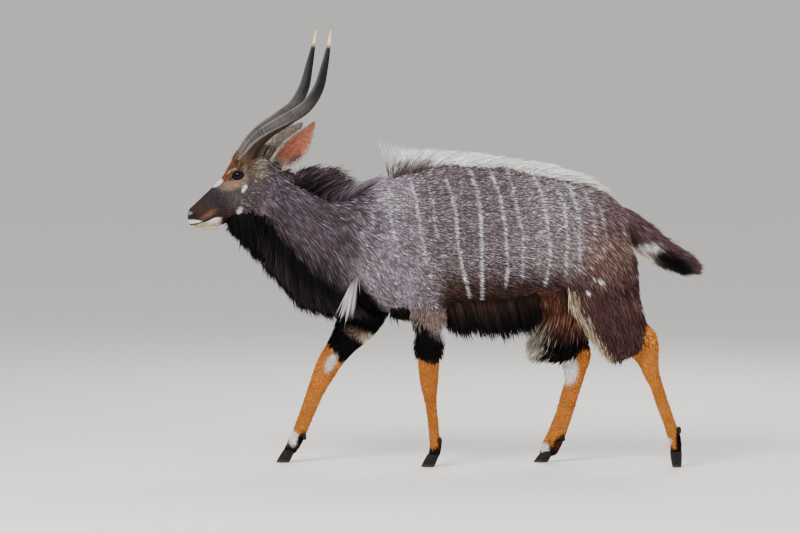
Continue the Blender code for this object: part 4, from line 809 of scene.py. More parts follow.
def haunch_markings(colours, x, z, y, points):
    left = y < 0
    lay(colours, "haunch", (1 - ramp(0.80, 0.95, z)) * ramp(0.50, 0.58, x))
    low = 1 - ramp(0.60, 0.78, z + 0.35 * (0.55 - x))
    lay(colours, "thigh", low * ramp(0.36, 0.44, x))
    front = [(0.430, 0.650), (0.447, 0.625), (0.496, 0.557), (0.553, 0.481), (0.598, 0.436), (0.636, 0.379)]
    lay(colours, "whisker", band(x, z, front, 0.014, 0.010) * left * (0.75 + 0.25 * streaks(points, 0.02)))
    lay(colours, "groin", spot(x, z, (0.375, 0.600), (0.062, 0.052), 0, 0.6) * (y < 0.09))
    for centre_x, centre_z, size in SPOTS:
        lay(colours, "white", spot(x, z, (centre_x, centre_z), (size, size * 1.2)))


# %% Markings of the legs
# Where, colour, middle, radii, lean in degrees, softness of the edge, strength.
LEG_SPOTS = [
    ("fore left", "white", (-0.114, 0.512), (0.011, 0.026), 0, 0.35, 0.8),
    ("fore left", "white", (0.004, 0.520), (0.021, 0.034), 0, 0.35, 0.9),
    ("inside fore right", "haunch", (-0.328, 0.492), (0.045, 0.020), -25, 0.6, 1.0),
    ("inside fore right", "cream", (-0.285, 0.464), (0.034, 0.022), -35, 0.6, 1.0),
    ("inside fore right", "stripe", (-0.430, 0.380), (0.017, 0.036), -28, 0.5, 0.9),
    ("inside fore left", "white", (-0.014, 0.340), (0.008, 0.040), 0, 0.35, 0.8),
    ("fore right", "white", (-0.572, 0.092), (0.018, 0.028), 0, 0.35, 1.0),
    ("fore right", "black", (-0.543, 0.085), (0.016, 0.034), -20, 0.35, 1.0),
    ("fore left", "hoof_hair", (-0.008, 0.085), (0.016, 0.034), 0, 0.35, 1.0),
    ("groin", "groin", (0.385, 0.600), (0.062, 0.055), 0, 0.6, 1.0),
    ("inside hind right", "white", (0.474, 0.355), (0.034, 0.056), 0, 0.35, 1.0),
    ("hind right", "white", (0.382, 0.055), (0.018, 0.020), 0, 0.35, 1.0),
    ("hind right", "black", (0.436, 0.070), (0.020, 0.030), -20, 0.35, 1.0),
    ("hind left", "white", (0.846, 0.098), (0.010, 0.014), 0, 0.35, 0.8),
    ("hind left", "black", (0.884, 0.100), (0.014, 0.045), 0, 0.35, 1.0),
]


def leg_markings(colours, x, y, z, points):
    left = y < 0
    inner = np.where(left, y > -0.086, y < 0.086)
    ragged = 0.006 * streaks(points, 0.04) + 0.007 * streaks(points * [1, 1, 0.3], 0.016)
    fore = x < 0.20
    front_left, front_right = left & fore & (x > -0.26), ~left & fore
    lay(colours, "elbow", spot(x, z, (-0.055, 0.580), (0.090, 0.085), 0, 0.6) * left)
    knee_top = np.where(left, 0.560 - 0.62 * (x + 0.114), 0.588)
    knee_low = np.clip(0.445 - 1.6 * (x + 0.436), 0.380, 0.455)
    knee_low = np.where(left, 0.376 + 0.6 * np.abs(x + 0.045), knee_low)
    black = (1 - ramp(-0.014, 0.014, z + ragged - knee_top)) * ramp(-0.007, 0.008, z + ragged - knee_low)
    lay(colours, "black", black * (front_left | front_right))
    lay(colours, "orange", (1 - ramp(-0.007, 0.008, z + ragged - knee_low)) * fore)
    lay(colours, "orange_dark", (1 - ramp(0.36, 0.42, z)) * front_left * 0.30)
    hind_left, hind_right = left & ~fore, ~left & ~fore
    lay(colours, "thigh", (1 - ramp(0.60, 0.66, z)) * ~fore)
    hock_left = 0.40 + (x - 0.64) * 1.08
    lay(colours, "orange", (1 - ramp(-0.008, 0.010, z - hock_left + ragged)) * hind_left)
    lay(colours, "orange", (1 - ramp(0.425, 0.445, z + ragged)) * hind_right)
    lay(colours, "hoof_hair", 1 - ramp(0.064, 0.080, z + ragged))
    lay(colours, "black", (1 - ramp(0.54, 0.60, z)) * ramp(0.425, 0.445, z + ragged) * hind_right)
    legs = {"fore left": front_left, "fore right": front_right, "hind left": hind_left,
            "hind right": hind_right, "inside fore left": front_left & inner,
            "inside fore right": front_right & inner, "inside hind right": hind_right & inner,
            "groin": hind_right & (y < 0.10)}
    for leg, name, middle, radii, lean, edge, strength in LEG_SPOTS:
        lay(colours, name, spot(x, z, middle, radii, lean, edge) * legs[leg] * strength)
    lay(colours, "orange_dark", ramp(0.25, 0.9, streaks(points, 0.09)) * (z < 0.38) * 0.2)


# %% Markings of the tail, and the whole coat
def tail_markings(colours, x, z, points):
    ragged = 0.006 * streaks(points, 0.03)
    lay(colours, "tail", np.ones(len(x)))
    lay(colours, "black", band(x, z, [(0.680, 0.910), (0.725, 0.845), (0.760, 0.820)], 0.016, 0.012) * 0.7)
    lay(colours, "black", spot(x, z + ragged, (0.872, 0.764), (0.100, 0.034), -30, 0.6))
    lay(colours, "white", spot(x, z + ragged, (0.776, 0.822), (0.040, 0.015), 8, 0.4) * 0.9)
    lay(colours, "cream", spot(x, z + ragged, (0.758, 0.786), (0.050, 0.018), -42, 0.4))
    lay(colours, "tail_tip", ramp(0.93, 0.98, x) * 0.7)


def coat_colours(points):
    """The colour of the coat at each point of the drawing, as linear red, green and blue."""
    share, own = head_share(points)
    head = in_head(points)
    seen = points.copy()
    own_left = own.copy()
    own_left[:, 1] = -np.abs(own_left[:, 1])
    seen[head] = turned(own_left)[head]
    x, y, z = seen[:, 0], points[:, 1], seen[:, 2]
    colours = np.tile(COAT["flank"], (len(points), 1))
    body = colours.copy()
    trunk_markings(body, x, z, points)
    neck_markings(body, x, z, points)
    haunch_markings(body, x, z, y, points)
    legs = body.copy()
    leg_markings(legs, x, y, z, points)
    fore_leg = (z < 0.60) & (((y < 0) & (x > -0.14) & (x < 0.05)) | ((y > 0) & (x < -0.10)))
    hind_leg = (z < 0.66) & (x > 0.30)
    colours = np.where((fore_leg | hind_leg)[:, None], legs, body)
    tail = (x > 0.715) & (z > 0.70)
    tails = colours.copy()
    tail_markings(tails, x, z, points)
    colours = np.where(tail[:, None], tails, colours)
    face = colours.copy()
    head_markings(face, x, z, own_left[:, 0], share, points)
    colours = np.where(head[:, None], face, colours)
    mottled = 0.07 * streaks(points, 0.11) + 0.07 * head * streaks(points * [1, 1, 1.6], 0.017)
    return colours * (1 + mottled)[:, None]


def store_colours(mesh, colours):
    """Keep one colour for each point of a mesh, for its material to read."""
    layer = mesh.color_attributes.new("coat", "FLOAT_COLOR", "POINT")
    values = np.ones((len(mesh.vertices), 4), np.float32)
    values[:, :3] = np.clip(colours, 0, 1)
    layer.data.foreach_set("color", values.ravel())


print("markings: ", len(STRIPES), "stripes,", len(SPOTS), "spots on each side")

# %% [markdown]
# ## Materials
#
# A material is a small graph of nodes. One helper adds a node with its settings and links, so each
# graph below reads as a list of what feeds what. The colours of the coat come from the points of the
# mesh, and each material adds the fine changes that its own surface shows.

# %% A helper for nodes
def add_node(material, kind, links=None, **settings):
    """Add a node, give its sockets and properties their values, and link what feeds it."""
    tree = material.node_tree
    node = tree.nodes.new("ShaderNode" + kind)
    for name, value in settings.items():
        if name in node.bl_rna.properties:
            setattr(node, name, value)
    for socket, value in (links or {}).items():
        target = node.inputs[socket]
        if isinstance(value, bpy.types.NodeSocket):
            tree.links.new(value, target)
        else:
            target.default_value = value
    return node


def new_material(name, **shader_values):
    """A material with a Principled shader whose constant values are set on its own sockets."""
    material = bpy.data.materials.new(name)
    material.use_nodes = True
    shader = material.node_tree.nodes["Principled BSDF"]
    for socket, value in shader_values.items():
        shader.inputs[socket.replace("_", " ")].default_value = value
    return material, shader


def noise(material, scale_mm, detail=3.0, stretch=(1, 1, 1)):
    """A noise whose grains are about so many millimetres across, stretched along some axes."""
    places = add_node(material, "TexCoord").outputs["Object"]
    scaled = add_node(material, "Mapping", {"Vector": places, "Scale": stretch}).outputs["Vector"]
    return add_node(material, "TexNoise", {"Vector": scaled, "Scale": 1000 / scale_mm,
                                           "Detail": detail}).outputs["Fac"]


def varied(material, colour, grain, darkest, lightest):
    """A colour made darker and lighter by a noise."""
    share = add_node(material, "MapRange", {"Value": grain, "From Min": 0.3, "From Max": 0.7,
                                            "To Min": darkest, "To Max": lightest}).outputs["Result"]
    mixed = add_node(material, "Mix", {}, data_type="RGBA", blend_type="MULTIPLY")
    mixed.inputs["Factor"].default_value = 1.0
    material.node_tree.links.new(colour, mixed.inputs[6])
    material.node_tree.links.new(share, mixed.inputs[7])
    return mixed.outputs[2]


def bumped(material, shader, height, distance, strength=0.6):
    """Raise the surface by a height that a pattern gives, in metres."""
    bump = add_node(material, "Bump", {"Height": height, "Distance": distance, "Strength": strength})
    material.node_tree.links.new(bump.outputs["Normal"], shader.inputs["Normal"])


def point_colour(material):
    return add_node(material, "Attribute", attribute_name="coat").outputs["Color"]


# %% [markdown]
# ### Fur
#
# Hair is keratin, whose IOR is about 1.55. A tuft stands for many hairs with air between them, so its
# IOR is set to 1.45. A dry coat scatters light between its hairs, so it looks matt with a weak sheen
# where it is seen edge on. Single hairs of 0.1 mm are too fine to show, so the grain is drawn at about
# 3 mm, the width of a few hairs that lie together.

# %% Materials of the coat
def coloured_by_points(name, roughness, ior, specular, grain, darkest, lightest):
    """A material with the colours of the points, which a grain makes darker and lighter."""
    material, shader = new_material(name, Roughness=roughness, IOR=ior, Specular_IOR_Level=specular)
    pattern = noise(material, *grain)
    material.node_tree.links.new(varied(material, point_colour(material), pattern, darkest, lightest),
                                 shader.inputs["Base Color"])
    return material, shader, pattern


fur, fur_shader, _ = coloured_by_points("hair_keratin_dry", 0.72, 1.45, 0.05, (3.0,), 0.70, 1.25)
fur_shader.inputs["Sheen Weight"].default_value = 0.01
fur_shader.inputs["Sheen Roughness"].default_value = 0.5
bumped(fur, fur_shader, noise(fur, 1.6, detail=2.0), 0.0006, 0.5)

undercoat, undercoat_shader, _ = coloured_by_points("undercoat_short_fur", 0.85, 1.45, 0.08,
                                                    (4.0, 4.0, (0.35, 1, 1)), 0.62, 1.12)
bumped(undercoat, undercoat_shader, noise(undercoat, 2.5, detail=4.0, stretch=(0.3, 1, 1)), 0.0015, 0.8)

# %% [markdown]
# ### Bare skin, horn, hoof and eye
#
# The nose and the rims of the lids are bare skin, finely pebbled and a little moist. Horn and hoof are
# solid keratin: dense, brittle and worn smooth, with fibres that run along the horn. The eye is wet, so
# a clear coat of water lies on it.

# %% Materials without fur
leather, leather_shader, _ = coloured_by_points("nose_skin_moist", 0.42, 1.40, 0.35, (5.0,), 0.8, 1.2)
pebbles = add_node(leather, "TexVoronoi", {"Vector": add_node(leather, "TexCoord").outputs["Object"],
                                           "Scale": 1000 / 2.2}).outputs["Distance"]
bumped(leather, leather_shader, pebbles, 0.0004, 0.7)

lid_skin, lid_shader, lid_folds = coloured_by_points("lid_skin_dark", 0.60, 1.40, 0.10, (2.0,), 0.7, 1.3)
bumped(lid_skin, lid_shader, lid_folds, 0.0004)

horn, horn_shader, horn_fibres = coloured_by_points("horn_keratin_ringed", 0.50, 1.54, 0.16,
                                                    (2.2, 5.0, (1, 1, 0.12)), 0.72, 1.18)
bumped(horn, horn_shader, horn_fibres, 0.0006)

hoof, hoof_shader, growth_rings = coloured_by_points("hoof_keratin_worn", 0.55, 1.54, 0.12,
                                                     (3.0, 3.0, (0.25, 0.25, 1)), 0.7, 1.35)
bumped(hoof, hoof_shader, growth_rings, 0.0005, 0.7)

eye_wet, eye_shader, _ = coloured_by_points("eye_wet_dark", 0.10, 1.38, 0.05, (1.5,), 0.7, 1.3)
eye_shader.inputs["Coat Weight"].default_value = 0.15
eye_shader.inputs["Coat Roughness"].default_value = 0.03

ear_skin, ear_shader, ear_veins = coloured_by_points("ear_skin_thin", 0.62, 1.40, 0.5, (14.0, 5.0),
                                                     0.55, 1.25)
ear_shader.inputs["Subsurface Weight"].default_value = 0.12
ear_shader.inputs["Subsurface Radius"].default_value = (0.006, 0.002, 0.001)
ear_shader.inputs["Subsurface Scale"].default_value = 1.0
bumped(ear_skin, ear_shader, ear_veins, 0.0008, 0.5)
print("materials:", [m.name for m in bpy.data.materials if m.name[0].islower()])

# %% [markdown]
# ## The finished skin as one piece
#
# Body and head are now one object. A smart projection unwraps it, and that unwrap has a second use:
# each tuft of the coat takes its place on the unwrap from the spot where it is rooted.

# %% One skin with its unwrap and markings
skin = join_meshes("skin", [body, head])
bpy.context.view_layer.objects.active = skin
skin.select_set(True)
skin.data.uv_layers.new(name="OFBake")
bpy.ops.object.mode_set(mode="EDIT")
bpy.ops.mesh.select_all(action="SELECT")
bpy.ops.uv.smart_project(angle_limit=radians(70), island_margin=0.002)
bpy.ops.object.mode_set(mode="OBJECT")
skin.select_set(False)
skin_points, skin_normals = places_of(skin.data)
skin.data.shade_smooth()
skin.data.materials.append(undercoat)
skin.data.materials.append(leather)
skin.data.materials.append(lid_skin)


def around_eyes(points):
    """1 on the black rims of the lids and on the dark line of the inner corner."""
    share, own = head_share(points)
    near = np.zeros(len(points))
    for side in (-1, 1):
        centre, forward, upward, outward = eye_frame(side)
        off = own - np.array(centre)
        along, high = off @ np.array(forward), off @ np.array(upward)
        rim = 1 - ramp(0.90, 1.10, np.hypot(along / 0.0262, high / 0.0180))
        corner = band(along, high, [(0.018, -0.003), (0.029, -0.007), (0.038, -0.012)], 0.0030, 0.0015)
        near = np.maximum(near, np.maximum(rim, corner) * (off @ np.array(outward) > 0))
    return near * in_head(points)


def mouth_line_places(points):
    """1 close to the line of the mouth."""
    mouth = np.array([on_face(row) for row in curve_through(MOUTH_LINE, 4)]
                     + [on_face((x, -y, z)) for x, y, z in curve_through(MOUTH_LINE, 4)])
    near = np.full(len(points), 9.0)
    face = np.nonzero(in_head(points))[0]
    for place in mouth:
        near[face] = np.minimum(near[face], np.linalg.norm(points[face] - place, axis=1))
    return 1 - ramp(0.0030, 0.0050, near)


def nose_pad(points):
    share, own = head_share(points)
    pad = (1 - ramp(0.014, 0.020, share + 0.3 * np.abs(own[:, 2] - 0.955))) * ramp(0.930, 0.934, own[:, 2])
    return pad * in_head(points)


lids = around_eyes(skin_points)
nose_and_lips = np.maximum(nose_pad(skin_points), mouth_line_places(skin_points))
bare = np.maximum(lids, nose_and_lips)
corner_index = np.empty(len(skin.data.loops), np.int32)
skin.data.loops.foreach_get("vertex_index", corner_index)
starts = np.empty(len(skin.data.polygons), np.int32)
skin.data.polygons.foreach_get("loop_start", starts)
first_corner = corner_index[starts]
skin.data.polygons.foreach_set("material_index", np.where(
    lids[first_corner] > 0.5, 2, np.where(nose_and_lips[first_corner] > 0.5, 1, 0)).astype(np.int32))
skin_colours = coat_colours(skin_points) * (1 - 0.38 * (1 - nose_and_lips))[:, None]
skin_colours += (COAT["nose"] - skin_colours) * np.maximum(lids, mouth_line_places(skin_points))[:, None]
store_colours(skin.data, skin_colours)
print("skin", len(skin.data.polygons), "faces, bare", int((bare > 0.5).sum()), "points")

# %% [markdown]
# ## How the hair lies
#
# A groomer combs a coat in strokes. The table below is such a combing: each stroke stands at a place in
# side view and gives the direction of the hair, in degrees from tailwards, with minus for downwards. It
# also gives how long the hair is there and how wide a tuft looks. Between strokes the values blend.

# %% The combing of the coat
# side (-1 left, 1 right, 0 both), x, z, direction, length and width of a tuft in millimetres.
COMB = [
    (0, -0.950, 0.970, 35, 5, 1.6), (0, -0.930, 0.915, 10, 5, 1.6), (0, -0.900, 1.010, 36, 7, 1.8),
    (0, -0.860, 0.930, 5, 8, 1.9), (0, -0.850, 1.000, 20, 8, 1.9), (0, -0.840, 1.080, 45, 9, 1.9),
    (0, -0.800, 1.150, 50, 11, 2.0), (0, -0.790, 1.050, 8, 9, 1.9), (0, -0.800, 0.960, -15, 14, 2.2),
    (0, -0.740, 1.010, -25, 16, 2.4), (0, -0.720, 1.100, -15, 14, 2.3), (0, -0.720, 1.180, 12, 20, 2.4),
    (0, -0.740, 0.940, -50, 30, 3.0), (0, -0.670, 1.060, -38, 30, 3.2), (0, -0.660, 1.140, -28, 24, 3.0),
    (0, -0.610, 1.090, -38, 38, 3.6), (0, -0.620, 0.980, -50, 48, 4.0), (0, -0.640, 0.860, -62, 60, 4.4),
    (0, -0.540, 1.040, -40, 46, 4.0), (0, -0.540, 0.920, -52, 58, 4.4), (0, -0.550, 0.780, -64, 66, 4.6),
    (0, -0.460, 0.980, -42, 48, 4.2), (0, -0.460, 0.850, -54, 60, 4.4), (0, -0.460, 0.680, -68, 66, 4.6),
    (0, -0.380, 1.000, -32, 40, 4.0), (0, -0.370, 0.860, -50, 50, 4.2), (0, -0.370, 0.680, -66, 58, 4.4),
    (0, -0.290, 1.040, -20, 26, 3.4), (0, -0.280, 0.880, -40, 23, 3.2), (0, -0.260, 0.720, -52, 20, 3.0),
    (0, -0.170, 1.050, -12, 18, 3.0), (0, -0.170, 0.880, -24, 16, 2.8), (0, -0.150, 0.680, -45, 16, 2.8),
    (0, -0.020, 1.080, -6, 19, 3.2), (0, -0.020, 0.880, -10, 18, 3.1), (0, -0.020, 0.680, -14, 22, 3.2),
    (0, 0.150, 1.080, -4, 19, 3.2), (0, 0.150, 0.880, -7, 18, 3.1), (0, 0.150, 0.680, -8, 22, 3.2),
    (0, 0.330, 1.060, -6, 19, 3.2), (0, 0.330, 0.880, -9, 18, 3.1), (0, 0.340, 0.700, -20, 24, 3.3),
    (0, 0.480, 1.010, -16, 21, 3.2), (0, 0.480, 0.860, -28, 22, 3.3), (0, 0.490, 0.730, -48, 30, 3.5),
    (0, 0.600, 0.960, -34, 26, 3.4), (0, 0.610, 0.840, -52, 36, 3.8), (0, 0.620, 0.720, -62, 44, 4.2),
    (0, 0.680, 0.900, -44, 34, 3.6), (0, 0.690, 0.760, -72, 48, 4.4),
    (0, 0.760, 0.860, -40, 48, 4.2), (0, 0.860, 0.790, -37, 56, 4.4), (0, 0.700, 0.950, -42, 30, 3.6),
    (-1, 0.520, 0.600, -62, 48, 4.6), (-1, 0.640, 0.560, -66, 50, 4.6), (-1, 0.700, 0.640, -72, 48, 4.6),
    (-1, 0.620, 0.460, -62, 40, 4.2), (-1, 0.740, 0.500, -68, 20, 3.2),
    (1, 0.370, 0.620, -84, 44, 4.4), (1, 0.480, 0.620, -86, 46, 4.6), (1, 0.580, 0.600, -92, 44, 4.4),
    (1, 0.440, 0.500, -86, 40, 4.4), (1, 0.530, 0.480, -94, 22, 3.4),
    (-1, -0.070, 0.560, -84, 16, 3.0), (-1, -0.060, 0.460, -88, 14, 2.8), (-1, -0.060, 0.340, -88, 9, 2.4),
    (-1, -0.050, 0.220, -88, 8, 2.2), (-1, -0.040, 0.080, -80, 8, 2.2),
    (1, -0.290, 0.600, -108, 18, 3.2), (1, -0.350, 0.500, -114, 16, 3.0), (1, -0.440, 0.380, -113, 10, 2.4),
    (1, -0.510, 0.220, -112, 8, 2.2), (1, -0.575, 0.080, -122, 8, 2.2),
    (-1, 0.770, 0.420, -70, 10, 2.4), (-1, 0.800, 0.300, -73, 8, 2.2), (-1, 0.845, 0.170, -73, 8, 2.2),
    (-1, 0.875, 0.080, -80, 8, 2.2),
    (1, 0.500, 0.390, -92, 10, 2.4), (1, 0.480, 0.270, -102, 8, 2.2), (1, 0.440, 0.150, -108, 8, 2.2),
    (1, 0.400, 0.070, -118, 8, 2.2),
]
STROKE_REACH = 0.055


def combed(points):
    """Direction in side view, length and width of the hair at each point, blended between strokes."""
    strokes = np.array(COMB, dtype=float)
    turn = np.radians(strokes[:, 3])
    values = np.stack([np.cos(turn), np.sin(turn), strokes[:, 4] / 1000, strokes[:, 5] / 1000], 1)
    result = np.empty((len(points), 4))
    for start in range(0, len(points), 20000):
        part = points[start:start + 20000]
        far = (part[:, None, 0] - strokes[None, :, 1]) ** 2 + (part[:, None, 2] - strokes[None, :, 2]) ** 2
        weight = 1 / (far + 0.02 ** 2) ** 2 * np.exp(-far / (6 * STROKE_REACH) ** 2)
        side = np.where(part[:, 1] < 0, -1, 1)[:, None]
        weight = weight * ((strokes[None, :, 0] == 0) | (strokes[None, :, 0] == side))
        result[start:start + 20000] = weight @ values / weight.sum(1, keepdims=True)
    return result


# %% Places for tufts, spread evenly over the skin
def triangles_of(mesh):
    """Corners, areas, normals and places on the unwrap of all triangles of a mesh."""
    mesh.calc_loop_triangles()
    count = len(mesh.loop_triangles)
    corners = np.empty(count * 3, np.int32)
    mesh.loop_triangles.foreach_get("vertices", corners)
    loops = np.empty(count * 3, np.int32)
    mesh.loop_triangles.foreach_get("loops", loops)
    flat = np.empty(len(mesh.loops) * 2, np.float32)
    mesh.uv_layers["OFBake"].data.foreach_get("uv", flat)
    points, normals = places_of(mesh)
    corners = corners.reshape(-1, 3)
    first, second, third = (points[corners[:, k]] for k in range(3))
    cross = np.cross(second - first, third - first)
    return {"points": points[corners], "normals": normals[corners], "corners": corners,
            "areas": np.linalg.norm(cross, axis=1) / 2,
            "uv": flat.reshape(-1, 2)[loops].reshape(-1, 3, 2).astype(float)}


def evenly_rooted(surface, density, count, draw):
    """Roots spread evenly by a density for each triangle: place, normal and place on the unwrap."""
    middles = surface["points"].mean(1)
    cells = np.floor(middles / 0.012).astype(np.int64)
    order = np.lexsort((middles[:, 1], cells[:, 0], cells[:, 2], middles[:, 1] > 0))
    shares = np.cumsum((surface["areas"] * density)[order])
    picks = (np.arange(count) + draw.uniform(0, 1, count)) / count * shares[-1]
    triangle = order[np.searchsorted(shares, picks).clip(0, len(order) - 1)]
    a, b = np.sqrt(draw.uniform(0, 1, count)), draw.uniform(0, 1, count)
    mix = np.stack([1 - a, a * (1 - b), a * b], 1)
    place = (surface["points"][triangle] * mix[..., None]).sum(1)
    normal = unit((surface["normals"][triangle] * mix[..., None]).sum(1))
    uv = (surface["uv"][triangle] * mix[..., None]).sum(1)
    return place, normal, uv, triangle


skin_surface = triangles_of(skin.data)
print("skin area", round(float(skin_surface["areas"].sum()), 2), "square metres")

# %% [markdown]
# ## One tuft, many times
#
# Each tuft is a flat tapered spike with three sides: a few rings, then a point. It bends up from the
# skin and then lies down. All tufts of a piece are built at once as arrays. Tufts near each other lean
# to a common tip, because real hair clumps.

# %% Meshes of tufts
RING_PLACES = {2: (0.0, 0.5), 3: (0.0, 0.40, 0.76)}
RING_WIDTHS = {2: (0.75, 1.0), 3: (0.70, 1.0, 0.66)}
PATCH = 0.003               # how much of the unwrap each tuft takes
WARM_ROOTS = np.array([0.16, 0.0, -0.16])       # dark hair is a little browner than pale hair


def clumped(tufts, size, strength, draw, shading=0.12):
    """Lean the tips of tufts that stand together towards their middle, and shade them alike."""
    size = size * np.ones((len(tufts["root"]), 3))
    small = size.min(1, keepdims=True)
    warp = 0.35 * small * np.sin(tufts["root"][:, [1, 2, 0]] / small * 1.7 + np.array([0.3, 1.1, 2.3]))
    cells = np.floor((tufts["root"] + warp) / size).astype(np.int64)
    cells[:, 0] += (size[:, 2] * 1e5).astype(np.int64) * 1000      # cells of two sizes stay apart
    _, group = np.unique(cells, axis=0, return_inverse=True)
    group = group.ravel()
    count = np.bincount(group)
    middle = np.stack([np.bincount(group, tufts["tip"][:, k]) / count for k in range(3)], 1)
    sway = draw.normal(0, 0.22 * size.min(), (len(count), 3))
    target = (middle + sway)[group]
    pull = strength * draw.uniform(0.4, 1.0, len(group))[:, None]
    tufts["tip"] = tufts["tip"] + (target - tufts["tip"]) * pull
    tufts["shade"] = tufts["shade"] * np.exp(draw.normal(0, 1, len(count))[group] * shading)


def tuft_rings(tufts, rings):
    """Centres of each ring of all tufts, with the two directions that it spans."""
    reach = tufts["tip"] - tufts["root"]
    for t, share in zip(RING_PLACES[rings], RING_WIDTHS[rings]):
        centre = tufts["root"] + reach * t + tufts["bow"] * 4 * t * (1 - t)
        along = unit(reach + tufts["bow"] * 4 * (1 - 2 * t))
        rise = unit(tufts["up"] - along * (tufts["up"] * along).sum(1, keepdims=True))
        flat = np.cross(along, rise)
        yield centre, flat, rise, share


def tuft_mesh(name, tufts, colour_of, rings=2):
    """One mesh of all tufts, coloured point by point, with each tuft's patch on the unwrap."""
    count = len(tufts["root"])
    points, patches = [], []
    for (centre, flat, rise, share), t in zip(tuft_rings(tufts, rings), RING_PLACES[rings]):
        half = (tufts["width"] * share / 2)[:, None]
        thick = (tufts["width"] * (0.16 + 0.10 * share))[:, None]
        points += [centre + flat * half - rise * thick * 0.5, centre + rise * thick,
                   centre - flat * half - rise * thick * 0.5]
        patches += [(0.5, t - 0.5), (0.0, t - 0.5), (-0.5, t - 0.5)]
    points.append(tufts["tip"])
    patches.append((0.0, 0.5))
    each = len(points)
    stack = np.stack(points, 1)
    faces = [(2, 1, 0)]
    for start in range(0, 3 * (rings - 1), 3):
        for k in range(3):
            a, b = start + k, start + (k + 1) % 3
            faces += [(a, b, b + 3), (a, b + 3, a + 3)]
    last = 3 * (rings - 1)
    faces += [(last + k, last + (k + 1) % 3, last + 3) for k in range(3)]
    corners = np.array(faces)
    one = stack[0][corners]
    if np.einsum("ij,ij->i", one[:, 0], np.cross(one[:, 1], one[:, 2])).sum() < 0:
        corners = corners[:, ::-1]
    index = (corners.ravel()[None, :] + np.arange(count)[:, None] * each).ravel()
    mesh = bpy.data.meshes.new(name)
    mesh.vertices.add(count * each)
    mesh.vertices.foreach_set("co", stack.astype(np.float32).ravel())
    mesh.loops.add(len(index))
    mesh.loops.foreach_set("vertex_index", index.astype(np.int32))
    mesh.polygons.add(len(index) // 3)
    mesh.polygons.foreach_set("loop_start", np.arange(0, len(index), 3, dtype=np.int32))
    mesh.update(calc_edges=True)
    uv = tufts["uv"][:, None, :] + np.array(patches)[None] * PATCH
    layer = mesh.uv_layers.new(name="OFBake")
    layer.data.foreach_set("uv", uv.reshape(-1, 2)[index].astype(np.float32).ravel())
    low, high = (np.reshape(tufts[end], (-1, 1)) for end in ("root_shade", "tip_shade"))
    shade = tufts["shade"][:, None] * (low + (high - low) * np.linspace(0, 1, each))
    colours = colour_of(stack.reshape(-1, 3), np.repeat(np.arange(count), each))
    shade = shade.reshape(-1, 1)
    warmth = 1 + np.clip(1 - shade, -0.5, 0.6) * WARM_ROOTS
    store_colours(mesh, colours * shade * warmth)
    return finish_mesh(mesh, fur)


TOTAL = {"triangles": 0}


def add_piece(name, mesh, stands_for=()):
    """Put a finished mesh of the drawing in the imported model's place, and hand it to the frame."""
    mesh.transform(PLACE)
    piece = link(name, mesh)
    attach(piece, "root")
    if stands_for:
        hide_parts(*stands_for)
    mesh.calc_loop_triangles()
    TOTAL["triangles"] += len(mesh.loop_triangles)
    print(name, len(mesh.loop_triangles), "triangles")
    return piece


def some(tufts, keep):
    """The tufts for which keep is true."""
    return {key: value[keep] if isinstance(value, np.ndarray) else value for key, value in tufts.items()}


print("tuft tools are ready")

# %% [markdown]
# ## The short coat
#
# Roots are spread over the skin by how much fur it takes to cover a place: short narrow tufts must
# stand closer than long ones. A tuft lies along the combed direction, laid onto the skin, and its tip
# rises to the height of the coat. Each has its own shade, which gives the fine streaks of a real coat.

# %% Tufts all over the skin
TUFTS_SHORT = 86000
TUFT_BLEND = 0.35           # how much a tuft's colour changes along it
draw = np.random.default_rng(12)


def lying_tufts(surface, count, density, draw):
    """Tufts that lie over the skin as it was combed."""
    place, normal, uv, triangle = evenly_rooted(surface, density, count, draw)
    comb = combed(place)
    way = np.stack([comb[:, 0], np.zeros(count), comb[:, 1]], 1)
    way = unit(way - normal * (way * normal).sum(1, keepdims=True) + draw.normal(0, 0.10, (count, 3)))
    way = unit(way - normal * (way * normal).sum(1, keepdims=True))
    length = comb[:, 2] * draw.uniform(0.75, 1.2, count)
    depth = coat_depth(place)
    rise = depth * draw.uniform(0.75, 1.15, count) + 0.0008
    long = ramp(0.007, 0.020, comb[:, 2]) * (1 - 0.3 * ramp(0.030, 0.050, comb[:, 2]))
    return {"root": place - normal * 0.0012, "tip": place + way * length[:, None] + normal * rise[:, None],
            "bow": normal * (rise * 0.35)[:, None], "up": normal, "uv": uv,
            "width": comb[:, 3] * draw.uniform(0.8, 1.25, count),
            "shade": np.exp(draw.normal(-0.03, 1, count) * (0.12 + 0.30 * long)), "long": long,
            "level": (np.abs(comb[:, 1]) < 0.30) & (comb[:, 2] < 0.028) & (comb[:, 2] > 0.014),
            "root_shade": 0.90 - 0.28 * long, "tip_shade": 1.08 + 0.24 * long, "length": length}


surface_middles = skin_surface["points"].mean(1)
surface_comb = combed(surface_middles)
needed = 1 / (surface_comb[:, 2] * surface_comb[:, 3]) ** 0.85
needed *= 1 - bare[skin_surface["corners"]].max(1)
coat = lying_tufts(skin_surface, TUFTS_SHORT, needed, draw)
cell_sizes = np.where(coat.pop("level")[:, None], [0.024, 0.020, 0.0052], [0.024, 0.014, 0.010])
clumped(coat, cell_sizes, 0.22, draw, 0.05 + 0.17 * coat.pop("long"))
lengths = coat.pop("length")
print("short coat", len(coat["root"]), "tufts, mean length", round(float(lengths.mean()) * 1000, 1), "mm")

